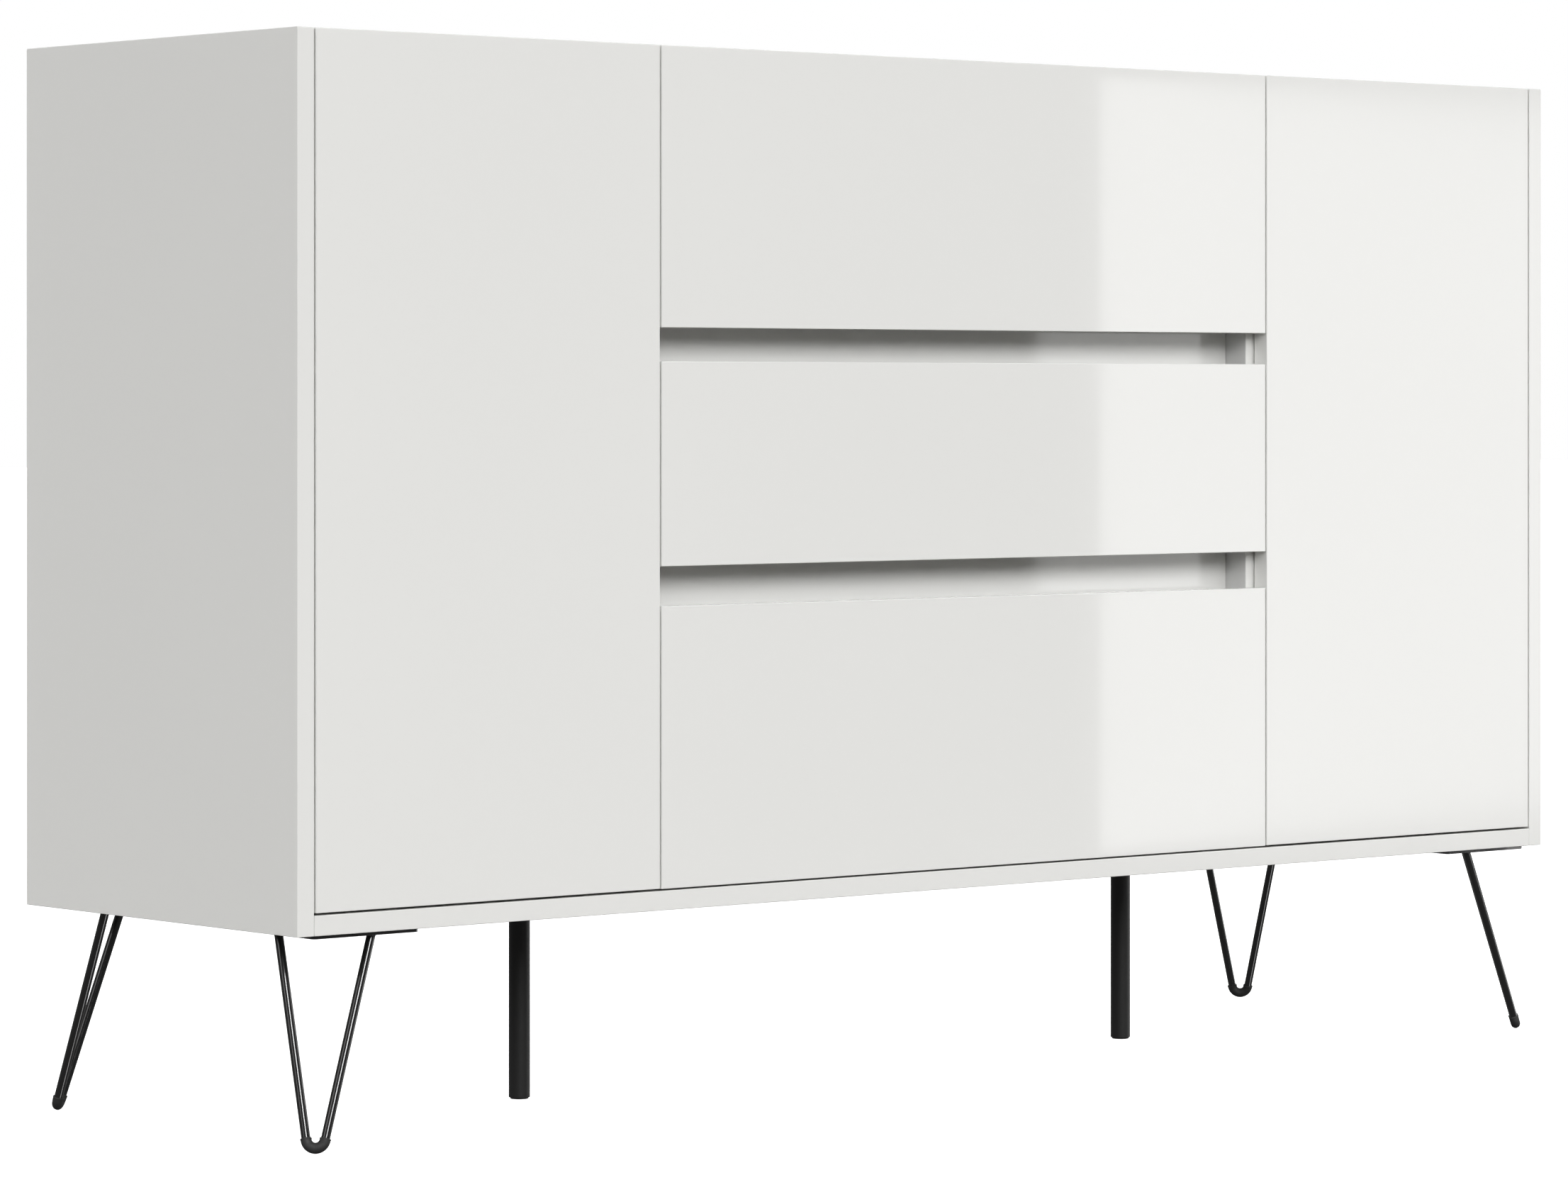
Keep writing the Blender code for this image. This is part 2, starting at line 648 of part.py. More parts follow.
def main():
    clear_scene()
    look = make_materials()
    make_side_panels(look)
    make_top_and_bottom(look)
    make_inner_boards(look)
    make_doors(look)
    make_push_latches(look)
    make_drawers(look)
    make_legs(look)
    make_middle_feet(look)


main()
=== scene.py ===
"""Looks of the high-gloss sideboard on hairpin legs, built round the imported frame.

Metres, in the frame's own axes: X along the width, Y along the depth with the fronts facing -Y, +Z up.
Each shape is a surface of two parameters or a profile carried along a path; a bevel then softens the edges
of boards and sheet metal.
"""

import json
import math

import bmesh
import bpy
import numpy as np
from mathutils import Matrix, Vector


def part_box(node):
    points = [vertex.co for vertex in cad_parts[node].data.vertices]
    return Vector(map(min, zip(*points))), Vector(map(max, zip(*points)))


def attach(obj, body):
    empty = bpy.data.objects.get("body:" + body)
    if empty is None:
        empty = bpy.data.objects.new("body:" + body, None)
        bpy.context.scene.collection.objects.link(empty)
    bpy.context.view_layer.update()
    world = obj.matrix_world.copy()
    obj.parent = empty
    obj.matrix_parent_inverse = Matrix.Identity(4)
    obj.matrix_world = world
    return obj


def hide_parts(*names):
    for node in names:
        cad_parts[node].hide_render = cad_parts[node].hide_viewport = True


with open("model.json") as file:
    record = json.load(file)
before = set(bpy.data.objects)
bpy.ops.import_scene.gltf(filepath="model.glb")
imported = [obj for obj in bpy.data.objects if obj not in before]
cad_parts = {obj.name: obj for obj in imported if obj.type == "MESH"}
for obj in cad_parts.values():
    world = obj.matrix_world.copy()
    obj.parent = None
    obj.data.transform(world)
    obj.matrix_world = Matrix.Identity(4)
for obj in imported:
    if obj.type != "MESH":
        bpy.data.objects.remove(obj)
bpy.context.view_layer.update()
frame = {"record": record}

SIDES = {"left": -1, "right": 1}
LEVELS = ("upper", "middle", "lower")
CORNERS = {"front_left": (-1, -1), "front_right": (1, -1), "rear_left": (-1, 1), "rear_right": (1, 1)}
TOUCH = 0.0003
MERGE = 1e-6
SMOOTH_ANGLE = math.radians(35)
FULL_TURN = 2 * math.pi
UP = (0, 0, 1)
DOWN = (0, 0, -1)
REARWARD = (0, 1, 0)


# ---------------------------------------------------------------- surfaces
def grid(rows, columns, around=True):
    """Four-sided faces between neighbouring points laid row after row; each row may close on itself."""
    steps = np.arange(columns if around else columns - 1)
    row, column = np.meshgrid(np.arange(rows - 1) * columns, steps, indexing="ij")
    after = (column + 1) % columns
    faces = np.stack([row + column, row + after, row + columns + after, row + columns + column], -1)
    return faces.reshape(-1, 4).tolist()


def together(*surfaces):
    """Several surfaces as one list of points and one list of faces."""
    faces = []
    start = 0
    for points, own_faces in surfaces:
        faces += [[start + spot for spot in face] for face in own_faces]
        start += len(points)
    return np.concatenate([points for points, _ in surfaces]), faces


PLANES = {"X": (1, 2, 0), "Y": (0, 2, 1), "Z": (0, 1, 2)}


def carried(outline, along, start, end):
    """Point(u, v) = outline(u) + (start + v (end - start)) along one axis.

    The parameter v is 0 or 1, and both ends are closed.
    """
    first, second, path = PLANES[along]
    outline = np.asarray(outline, float)
    count = len(outline)
    points = np.empty((2, count, 3))
    points[:, :, first] = outline[:, 0]
    points[:, :, second] = outline[:, 1]
    points[:, :, path] = [[start], [end]]
    return points.reshape(-1, 3), grid(2, count) + [list(range(count)), list(range(count, 2 * count))]


def board(low, high):
    """A rectangle in X and Z carried along Y."""
    outline = [(low[0], low[2]), (high[0], low[2]), (high[0], high[2]), (low[0], high[2])]
    return carried(outline, "Y", low[1], high[1])


def unit(vectors):
    """The vectors brought to length one."""
    return vectors / np.linalg.norm(vectors, axis=-1, keepdims=True)


def rounded(corners, radius, steps=4, closed=True):
    """Every corner gives way to an arc that touches both its edges.

    Arc(s) = centre + (start sin((1 - s) turn) + end sin(s turn)) / sin(turn), where start and end lead from
    the arc's centre to its two tangent points, turn is the angle between them and s runs from 0 to 1.
    """
    corners = np.asarray(corners, float)
    before = unit(np.roll(corners, 1, 0) - corners)
    after = unit(np.roll(corners, -1, 0) - corners)
    half = np.arccos(np.clip((before * after).sum(1), -1, 1))[:, None] / 2
    centre = corners + unit(before + after) * radius / np.sin(half)
    start = corners + before * radius / np.tan(half) - centre
    end = corners + after * radius / np.tan(half) - centre
    turn = (math.pi - 2 * half)[:, None]
    share = np.linspace(0, 1, steps + 1)[:, None]
    arcs = start[:, None] * np.sin((1 - share) * turn) + end[:, None] * np.sin(share * turn)
    arcs = centre[:, None] + arcs / np.sin(turn)
    if closed:
        return arcs.reshape(-1, 2)
    return np.vstack([corners[:1], arcs[1:-1].reshape(-1, 2), corners[-1:]])


def bent_sheet(line, thickness, bend):
    """Outline of folded sheet metal, whose middle line has its corners rounded first.

    Outline(u) = line(u) + mitre(u) thickness / 2 on the way out, and line(u) less the same on the way back.
    """
    line = rounded(line, bend, closed=False)
    run = unit(np.diff(line, axis=0))
    normal = np.stack([-run[:, 1], run[:, 0]], 1)
    first = np.vstack([normal[:1], normal])
    second = np.vstack([normal, normal[-1:]])
    mitre = (first + second) / (1 + (first * second).sum(1, keepdims=True))
    return np.vstack([line + mitre * thickness / 2, (line - mitre * thickness / 2)[::-1]])


def spokes(toward, sides):
    """Unit vectors round an axis, one for each side of a ring, and the axis itself."""
    axis = Vector(toward).normalized()
    across = axis.orthogonal().normalized()
    over = axis.cross(across)
    angle = np.linspace(0, FULL_TURN, sides, endpoint=False)
    return np.outer(np.cos(angle), across) + np.outer(np.sin(angle), over), np.array(axis)


def turned(profile, place, toward, sides=48):
    """Point(u, v) = place + radius(u) spoke(v) + height(u) axis, for a profile that ends on the axis."""
    ring, axis = spokes(toward, sides)
    profile = np.asarray(profile, float)
    points = np.asarray(place) + profile[:, None, :1] * ring + profile[:, None, 1:] * axis
    return points.reshape(-1, 3), grid(len(profile), sides)


def tube(line, tangent, across, radius, sides=28):
    """Point(u, v) = line(u) + radius(u) (across cos v + (tangent(u) x across) sin v), with flat ends."""
    angle = np.linspace(0, FULL_TURN, sides, endpoint=False)[:, None]
    over = np.cross(tangent, across)
    ring = np.cos(angle) * across + np.sin(angle) * over[:, None]
    points = line[:, None] + np.reshape(radius, (-1, 1, 1)) * ring
    last = (len(line) - 1) * sides
    ends = [list(range(sides)), list(range(last, last + sides))]
    return points.reshape(-1, 3), grid(len(line), sides) + ends


# Shares of a screw head's radius and of its rise. Each screw further down is its head's radius and its rise.
RECESS_HALF_WIDTH = 0.13
RECESS_HALF_LENGTH = 0.55
RECESS_DEPTH = 0.75


def screw_head(place, toward, radius, rise, rings=12, sides=40):
    """A domed head with a cross recess, closed underneath.

    Height(r, v) = rise (sqrt(1 - r^4) - depth / ((1 + narrow^6) (1 + far^10))), with r the distance from
    the axis as a share of the radius. Narrow and far are the smaller and the larger of |r cos v| and
    |r sin v|, as shares of the recess's half width and half length.
    """
    ring, axis = spokes(toward, sides)
    reach = np.sin(np.linspace(0, math.pi / 2, rings))[:, None]
    angle = np.linspace(0, FULL_TURN, sides, endpoint=False)
    along = np.abs(reach * np.cos(angle))
    beside = np.abs(reach * np.sin(angle))
    narrow = np.minimum(along, beside) / RECESS_HALF_WIDTH
    far = np.maximum(along, beside) / RECESS_HALF_LENGTH
    height = rise * np.sqrt(1 - reach ** 4) - RECESS_DEPTH * rise / ((1 + narrow ** 6) * (1 + far ** 10))
    spread = np.broadcast_to(reach * radius, height.shape)
    spread = np.vstack([spread, np.zeros((1, sides))])
    height = np.vstack([height, np.zeros((1, sides))])
    points = np.asarray(place) + spread[..., None] * ring + height[..., None] * axis
    return points.reshape(-1, 3), grid(rings + 1, sides)


# ---------------------------------------------------------------- finishes
class Finish:
    """One material: the record's colour for its slot, and patterns on Object coordinates.

    A pattern's scale is in features a metre, and a bump's distance is in metres.
    """

    def __init__(self, slot, roughness, metallic=0.0):
        self.colour = tuple(RECORD_COLOURS[slot])
        self.material = bpy.data.materials.new(slot)
        self.material.use_nodes = True
        self.tree = self.material.node_tree
        self.shader = self.tree.nodes["Principled BSDF"]
        self.spot = self.tree.nodes.new("ShaderNodeTexCoord").outputs["Object"]
        self.shader.inputs["Base Color"].default_value = (*self.colour, 1)
        self.shader.inputs["Roughness"].default_value = roughness
        self.shader.inputs["Metallic"].default_value = metallic

    def noise(self, scale, detail=2.0, stretch=(1, 1, 1)):
        """Soft noise, drawn out along the axes whose stretch is small."""
        mapping = self.tree.nodes.new("ShaderNodeMapping")
        mapping.inputs["Scale"].default_value = stretch
        self.tree.links.new(self.spot, mapping.inputs["Vector"])
        made = self.tree.nodes.new("ShaderNodeTexNoise")
        made.inputs["Scale"].default_value = scale
        made.inputs["Detail"].default_value = detail
        self.tree.links.new(mapping.outputs["Vector"], made.inputs["Vector"])
        return made.outputs["Fac"]

    def cells(self, scale, output="Distance"):
        """A pattern of cells: the distance from each cell's middle, or each cell's own colour."""
        made = self.tree.nodes.new("ShaderNodeTexVoronoi")
        made.inputs["Scale"].default_value = scale
        self.tree.links.new(self.spot, made.inputs["Vector"])
        return made.outputs[output]

    def between(self, value, low, high, start=0.3, end=0.7):
        """The value's range from start to end, where most of a noise lies, brought to low and high."""
        made = self.tree.nodes.new("ShaderNodeMapRange")
        made.inputs["From Min"].default_value = start
        made.inputs["From Max"].default_value = end
        made.inputs["To Min"].default_value = low
        made.inputs["To Max"].default_value = high
        self.tree.links.new(value, made.inputs["Value"])
        return made.outputs["Result"]

    def rough(self, value, low, high):
        """Roughness that goes from low to high with the value."""
        self.tree.links.new(self.between(value, low, high), self.shader.inputs["Roughness"])

    def shade(self, value, depth, start=0.3, end=0.7):
        """The colour, darker by up to that share where the value is low."""
        made = self.tree.nodes.new("ShaderNodeMix")
        made.data_type = "RGBA"
        made.inputs["A"].default_value = (*[part * (1 - depth) for part in self.colour], 1)
        made.inputs["B"].default_value = (*self.colour, 1)
        self.tree.links.new(self.between(value, 0, 1, start, end), made.inputs["Factor"])
        self.tree.links.new(made.outputs["Result"], self.shader.inputs["Base Color"])

    def bump(self, *layers):
        """Layers of (height, strength, distance), each laid over the one before."""
        normal = None
        for height, strength, distance in layers:
            made = self.tree.nodes.new("ShaderNodeBump")
            made.inputs["Strength"].default_value = strength
            made.inputs["Distance"].default_value = distance
            self.tree.links.new(height, made.inputs["Height"])
            if normal:
                self.tree.links.new(normal, made.inputs["Normal"])
            normal = made.outputs["Normal"]
        self.tree.links.new(normal, self.shader.inputs["Normal"])


def gloss_lacquer():
    """Polished lacquer: a long, shallow waviness under a fine orange peel."""
    made = Finish("gloss_lacquer", 0.11)
    made.shade(made.noise(2.2, 3.0), 0.012)
    made.rough(made.noise(14, 4.0), 0.10, 0.125)
    made.bump((made.noise(9, 1.0), 0.20, 0.0002), (made.noise(330, 1.0), 0.16, 0.00002))
    return made


def melamine():
    """Satin foil with a pearl embossing."""
    made = Finish("melamine", 0.42)
    made.shade(made.noise(5, 4.0), 0.02)
    made.rough(made.noise(60, 3.0), 0.36, 0.46)
    made.bump((made.noise(1400, 2.0), 0.35, 0.00008),)
    return made


def hardboard():
    """Thin coated fibreboard: fibres show faintly through the coat."""
    made = Finish("hardboard", 0.62)
    fibres = made.noise(520, 6.0, stretch=(1, 1, 0.35))
    made.shade(fibres, 0.09)
    made.bump((fibres, 0.4, 0.00015), (made.noise(18, 2.0), 0.3, 0.0008))
    return made


def coated_steel():
    """Powder coat with a fine, even grain."""
    made = Finish("coated_steel", 0.38, 0.15)
    made.shade(made.noise(30, 4.0), 0.03)
    made.rough(made.noise(900, 2.0), 0.33, 0.43)
    made.bump((made.noise(1700, 2.0), 0.3, 0.00006),)
    return made


def zinc_steel():
    """Bright zinc plate: small crystal patches and faint drawing lines."""
    made = Finish("zinc_steel", 0.28, 1.0)
    patches = made.cells(420, "Color")
    made.shade(patches, 0.14, 0.0, 1.0)
    made.rough(made.noise(700, 3.0, stretch=(1, 0.08, 1)), 0.22, 0.36)
    made.bump((made.noise(1500, 2.0, stretch=(1, 0.05, 1)), 0.2, 0.00003),)
    return made


def black_lacquered_steel():
    """Gloss black lacquer over drawn rod and plate."""
    made = Finish("black_lacquered_steel", 0.16)
    made.shader.inputs["Coat Weight"].default_value = 0.6
    made.shader.inputs["Coat Roughness"].default_value = 0.05
    made.rough(made.noise(180, 3.0), 0.14, 0.24)
    made.bump((made.noise(650, 2.0), 0.22, 0.00006),)
    return made


def black_rubber():
    """Matt rubber with a fine grain."""
    made = Finish("black_rubber", 0.7)
    made.shade(made.noise(220, 4.0), 0.25)
    made.rough(made.noise(500, 3.0), 0.6, 0.78)
    made.bump((made.noise(2400, 2.0), 0.4, 0.00005),)
    return made


def black_plastic():
    """Satin plastic with a spark-eroded grain."""
    made = Finish("black_plastic", 0.45)
    made.shade(made.noise(90, 4.0), 0.12)
    made.rough(made.noise(400, 2.0), 0.40, 0.50)
    made.bump((made.cells(1600), 0.25, 0.00005),)
    return made


def grey_plastic():
    """The same grain in a lighter, slightly duller plastic."""
    made = Finish("grey_plastic", 0.48)
    made.shade(made.noise(110, 4.0), 0.06)
    made.rough(made.noise(380, 2.0), 0.42, 0.54)
    made.bump((made.cells(1500), 0.25, 0.00005),)
    return made


# ---------------------------------------------------------------- pieces
def piece(name, surface, body, finish, stands_for=(), edge=0.0):
    """One object, its place in its mesh and its faces outward; edge is the radius of its soft edges."""
    points, faces = surface
    mesh = bpy.data.meshes.new(name)
    mesh.from_pydata(points, [], faces)
    shape = bmesh.new()
    shape.from_mesh(mesh)
    bmesh.ops.remove_doubles(shape, verts=shape.verts, dist=MERGE)
    bmesh.ops.recalc_face_normals(shape, faces=shape.faces)
    shape.to_mesh(mesh)
    shape.free()
    mesh.shade_smooth()
    made = bpy.data.objects.new(name, mesh)
    bpy.context.scene.collection.objects.link(made)
    if edge:
        softened = made.modifiers.new("soft_edges", "BEVEL")
        softened.width = edge
        softened.segments = 3
        softened.limit_method = "ANGLE"
        softened.angle_limit = SMOOTH_ANGLE
        softened.harden_normals = True
    else:
        mesh.set_sharp_from_angle(angle=SMOOTH_ANGLE)
    mesh.materials.append(FINISHES[finish].material)
    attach(made, body)
    if stands_for:
        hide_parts(*stands_for)
    return made


def middle(node):
    """The middle of a node's box."""
    low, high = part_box(node)
    return (low + high) / 2


def inner_and_outer(node, sign):
    """The two X values of a node's box: the one nearer the cabinet's middle and the one nearer its side."""
    low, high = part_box(node)
    return (low.x, high.x) if sign > 0 else (high.x, low.x)


# ---------------------------------------------------------------- boards
LACQUER_EDGE = 0.0007
FOIL_EDGE = 0.0004
SHEET_EDGE = 0.0002
EDGE_BAND = 0.0008


def make_plain_boards():
    """Plain rectangular boards: shelves, rails, back, and the drawers' fronts, backs and bottoms."""
    rows = [("back_panel", "carcass", "hardboard", SHEET_EDGE)]
    for side in SIDES:
        rows.append(("shelf_" + side, "carcass", "melamine", FOIL_EDGE))
    for level in ("upper", "lower"):
        rows.append(("grip_rail_" + level, "carcass", "gloss_lacquer", LACQUER_EDGE))
    for level in LEVELS:
        rows.append(("drawer_front_" + level, "drawer_" + level, "gloss_lacquer", LACQUER_EDGE))
        rows.append(("drawer_back_" + level, "drawer_" + level, "melamine", FOIL_EDGE))
        rows.append(("drawer_bottom_" + level, "drawer_" + level, "melamine", FOIL_EDGE))
    for node, body, finish, edge in rows:
        piece(node + "_board", board(*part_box(node)), body, finish, [node], edge)


def make_dividers():
    """Melamine boards with a glossy band glued to the front edge, which shows in the grip gaps."""
    for side in SIDES:
        low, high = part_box("divider_" + side)
        glue = low.y + EDGE_BAND
        panel = board((low.x, glue, low.z), high)
        piece("divider_board_" + side, panel, "carcass", "melamine", ["divider_" + side], FOIL_EDGE)
        band = board(low, (high.x, glue, high.z))
        piece("divider_edge_band_" + side, band, "carcass", "gloss_lacquer", edge=SHEET_EDGE)


def grooved(near, far, face, groove_low, groove_high, depth):
    """Outline of a board from its near to its far edge, with a groove for the back cut into one face.

    Its two numbers are the place across the thickness and the place along the depth.
    """
    inner, outer = face
    floor = inner + depth * math.copysign(1, outer - inner)
    return np.array([
        (outer, near), (outer, far), (inner, far), (inner, groove_high),
        (floor, groove_high), (floor, groove_low), (inner, groove_low), (inner, near),
    ])


def make_grooved_boards():
    """Side panels, top and bottom, with the groove that the back sits in."""
    back_low, back_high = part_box("back_panel")
    groove = (back_low.y - TOUCH, back_high.y + TOUCH)
    for side, sign in SIDES.items():
        node = "side_panel_" + side
        low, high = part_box(node)
        face = inner_and_outer(node, sign)
        depth = abs(inner_and_outer("back_panel", sign)[1] - face[0]) + TOUCH
        outline = grooved(low.y, high.y, face, *groove, depth)
        surface = carried(outline, "Z", low.z, high.z)
        piece("side_board_" + side, surface, "carcass", "gloss_lacquer", [node], LACQUER_EDGE)
    for name, upward in (("bottom_panel", True), ("top_panel", False)):
        low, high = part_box(name)
        face = (high.z, low.z) if upward else (low.z, high.z)
        depth = abs((back_low.z if upward else back_high.z) - face[0]) + TOUCH
        outline = grooved(low.y, high.y, face, *groove, depth)[:, ::-1]
        surface = carried(outline, "X", low.x, high.x)
        piece(name + "_board", surface, "carcass", "gloss_lacquer", [name], LACQUER_EDGE)


def bored_board(low, high, centre_x, heights, radius, depth, sides=48):
    """A board with blind round holes above one another in its rear face.

    Rim(u) = centre + radius (cos u, sin u), at the face and again at the hole's floor. The rear face is made
    of pieces that join the holes' quarter points to the board's corners and to each other.
    """
    angle = math.pi / 4 + np.linspace(0, FULL_TURN, sides, endpoint=False)
    round_x = centre_x + radius * np.cos(angle)
    box_points, box_faces = board(low, high)
    points = [box_points]
    faces = box_faces[:-1]
    quarter = sides // 4
    rims = []
    for number, height in enumerate(heights):
        start = len(box_points) + 2 * sides * number
        round_z = height + radius * np.sin(angle)
        for y in (high[1], high[1] - depth):
            points.append(np.stack([round_x, np.full(sides, y), round_z], 1))
        faces += [[start + spot for spot in face] for face in grid(2, sides)]
        faces.append(list(range(start + sides, start + 2 * sides)))
        rims.append([start + step % sides for step in range(sides + 1)])
    low_left, low_right, top_right, top_left = (4, 5, 6, 7)
    right = [spot for rim in rims[::-1] for spot in rim[3 * quarter:]]
    left = [spot for rim in rims for spot in rim[quarter:2 * quarter + 1]]
    faces.append([top_left, top_right] + rims[0][:quarter + 1])
    faces.append([low_right, low_left] + rims[-1][2 * quarter:3 * quarter + 1])
    faces.append([top_right, low_right] + right)
    faces.append([low_left, top_left] + left)
    for upper, lower in zip(rims, rims[1:]):
        faces.append(upper[2 * quarter:3 * quarter + 1] + lower[:quarter + 1])
    return np.concatenate(points), faces


# ---------------------------------------------------------------- doors and hinges
CUP_LAP = 0.0028
CUP_WALL = 0.0012
CUP_FLOOR = 0.001
CUP_SOFT = 0.0006
CUP_SCREW = (0.0038, 0.0012)
WING_SCREW_SHIFT = 0.0022
WING_REACH = 0.0275
WING_HALF = 0.0075
ARM_STEEL = 0.0015
ARM_BEND = 0.0014
ARM_HALF = 0.008
ARM_PLATE_SCREW = (0.0040, 0.0017)
ARM_CREST_SCREW = (0.0033, 0.0012)
ARM_CREST_SPOTS = (0.012, 0.038)
LINK_STEEL = 0.0025
LINK_BEND = 0.0022


def make_doors():
    """Doors with two round holes in the back, in which the hinge cups sit."""
    for side in SIDES:
        door = "door_" + side
        cups = [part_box("hinge_cup_" + side + "_" + end) for end in ("upper", "lower")]
        low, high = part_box(door)
        heights = [(cup[0].z + cup[1].z) / 2 for cup in cups]
        centre_x = (cups[0][0].x + cups[0][1].x) / 2
        radius = (cups[0][1].x - cups[0][0].x) / 2 - CUP_LAP + TOUCH
        depth = high.y - cups[0][0].y + TOUCH
        surface = bored_board(low, high, centre_x, heights, radius, depth)
        piece("door_board_" + side, surface, door, "gloss_lacquer", [door], LACQUER_EDGE)


def cup_with_wings(place, radius, depth, top):
    """A round cup inside a flange with two wings.

    Radius(u, v) = fixed(u) + rim(v) share(u). Rim(v) is the larger of the flange's radius and a round-ended
    bar's reach at that angle; the bar lies along Z.
    """
    sides = 96
    angle = np.linspace(0, FULL_TURN, sides, endpoint=False)
    along = np.abs(np.sin(angle))
    beside = np.abs(np.cos(angle))
    centre = WING_REACH - WING_HALF
    tip = centre * along + np.sqrt(np.maximum(WING_HALF ** 2 - (centre * beside) ** 2, 0))
    straight = WING_HALF / np.maximum(beside, 0.1)
    bar = np.where(WING_HALF * along < centre * beside, straight, tip)
    rim = np.maximum(radius, bar)
    body = radius - CUP_LAP
    hollow = body - CUP_WALL
    soft = CUP_SOFT
    outside = [(0, -depth, 0), (body - soft, -depth, 0), (body, soft - depth, 0), (body, TOUCH, 0)]
    flange = [(0, TOUCH, 1), (0, top - soft / 3, 1), (-soft / 3, top, 1)]
    mouth = [(hollow + soft, top, 0), (hollow + soft / 3, top - soft / 3, 0), (hollow, top - soft, 0)]
    inside = [
        (hollow, CUP_FLOOR + 2 * soft - depth, 0), (hollow - soft / 2, CUP_FLOOR + soft / 2 - depth, 0),
        (hollow - 2 * soft, CUP_FLOOR - depth, 0), (0, CUP_FLOOR - depth, 0),
    ]
    profile = np.array(outside + flange + mouth + inside)
    reach = profile[:, :1] + rim * profile[:, 2:]
    points = np.empty((len(profile), sides, 3))
    points[..., 0] = place[0] + reach * np.cos(angle)
    points[..., 1] = place[1] + profile[:, 1:2]
    points[..., 2] = place[2] + reach * np.sin(angle)
    return points.reshape(-1, 3), grid(len(profile), sides)


def make_hinges():
    """Each hinge: a cup with wings and screws in the door, an arm on the side panel, a link between."""
    door_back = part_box("door_left")[1].y
    for side, sign in SIDES.items():
        for end in ("upper", "lower"):
            name = side + "_" + end
            low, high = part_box("hinge_cup_" + name)
            place = np.array(((low.x + high.x) / 2, door_back, (low.z + high.z) / 2))
            radius = (high.x - low.x) / 2
            cup = cup_with_wings(place, radius, door_back - low.y, high.y - door_back)
            piece("hinge_cup_shell_" + name, cup, "door_" + side, "zinc_steel", ["hinge_cup_" + name])
            reach = WING_REACH - WING_HALF + WING_SCREW_SHIFT
            places = [place + (0, high.y - door_back, turn * reach) for turn in (-1, 1)]
            heads = [screw_head(spot, REARWARD, *CUP_SCREW) for spot in places]
            piece("hinge_cup_screws_" + name, together(*heads), "door_" + side, "zinc_steel")
            make_arm(name, sign)
            make_link(name, side, sign)


def make_arm(name, sign):
    """A sheet folded to a hat, screwed through its two brims and with two setting screws in its crest."""
    node = "hinge_arm_" + name
    low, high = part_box(node)
    crest, foot = inner_and_outer(node, sign)
    inward = -sign
    height = (low.z + high.z) / 2
    foot_line = foot + inward * ARM_STEEL / 2
    crest_line = crest - inward * ARM_STEEL / 2
    wall = ARM_HALF - ARM_STEEL / 2
    line = [
        (foot_line, low.z), (foot_line, height - wall), (crest_line, height - wall),
        (crest_line, height + wall), (foot_line, height + wall), (foot_line, high.z),
    ]
    hat = carried(bent_sheet(line, ARM_STEEL, ARM_BEND), "Y", low.y, high.y)
    piece("hinge_arm_sheet_" + name, hat, "carcass", "zinc_steel", [node], SHEET_EDGE)
    toward = (inward, 0, 0)
    reach = (high.z - height + ARM_HALF) / 2
    middle_y = (low.y + high.y) / 2
    brims = [(foot + inward * ARM_STEEL, middle_y, height + turn * reach) for turn in (-1, 1)]
    heads = [screw_head(spot, toward, *ARM_PLATE_SCREW) for spot in brims]
    heads += [screw_head((crest, low.y + y, height), toward, *ARM_CREST_SCREW) for y in ARM_CREST_SPOTS]
    piece("hinge_arm_screws_" + name, together(*heads), "carcass", "zinc_steel")


def make_link(name, side, sign):
    """A steel hook that reaches from the arm into the cup."""
    node = "hinge_link_" + name
    low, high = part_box(node)
    spine_face, tip = inner_and_outer(node, sign)
    spine = spine_face + sign * LINK_STEEL / 2
    line = [(tip, low.y + LINK_STEEL / 2), (spine, low.y + LINK_STEEL / 2), (spine, high.y)]
    hook = carried(bent_sheet(line, LINK_STEEL, LINK_BEND), "Z", low.z, high.z)
    piece("hinge_link_steel_" + name, hook, "hinge_links_" + side, "zinc_steel", [node], SHEET_EDGE)


# ---------------------------------------------------------------- push latches
# The ears and their screws are placed from the plunger's middle: to either side of it, and back from it.
LATCH_EDGE = 0.0006
LATCH_PLAY = 0.0004
LATCH_SPARE = 0.004
LATCH_SCREW = (0.0031, 0.0012)
EAR_HALF = 0.016
EAR_DEPTHS = (0.004, 0.018)
EAR_THICK = 0.0022
EAR_SCREW_SPOT = (0.0115, 0.011)
TIP_STEP = 0.0006
TIP_LENGTH = 0.0035
TIP_SOFT = 0.0005


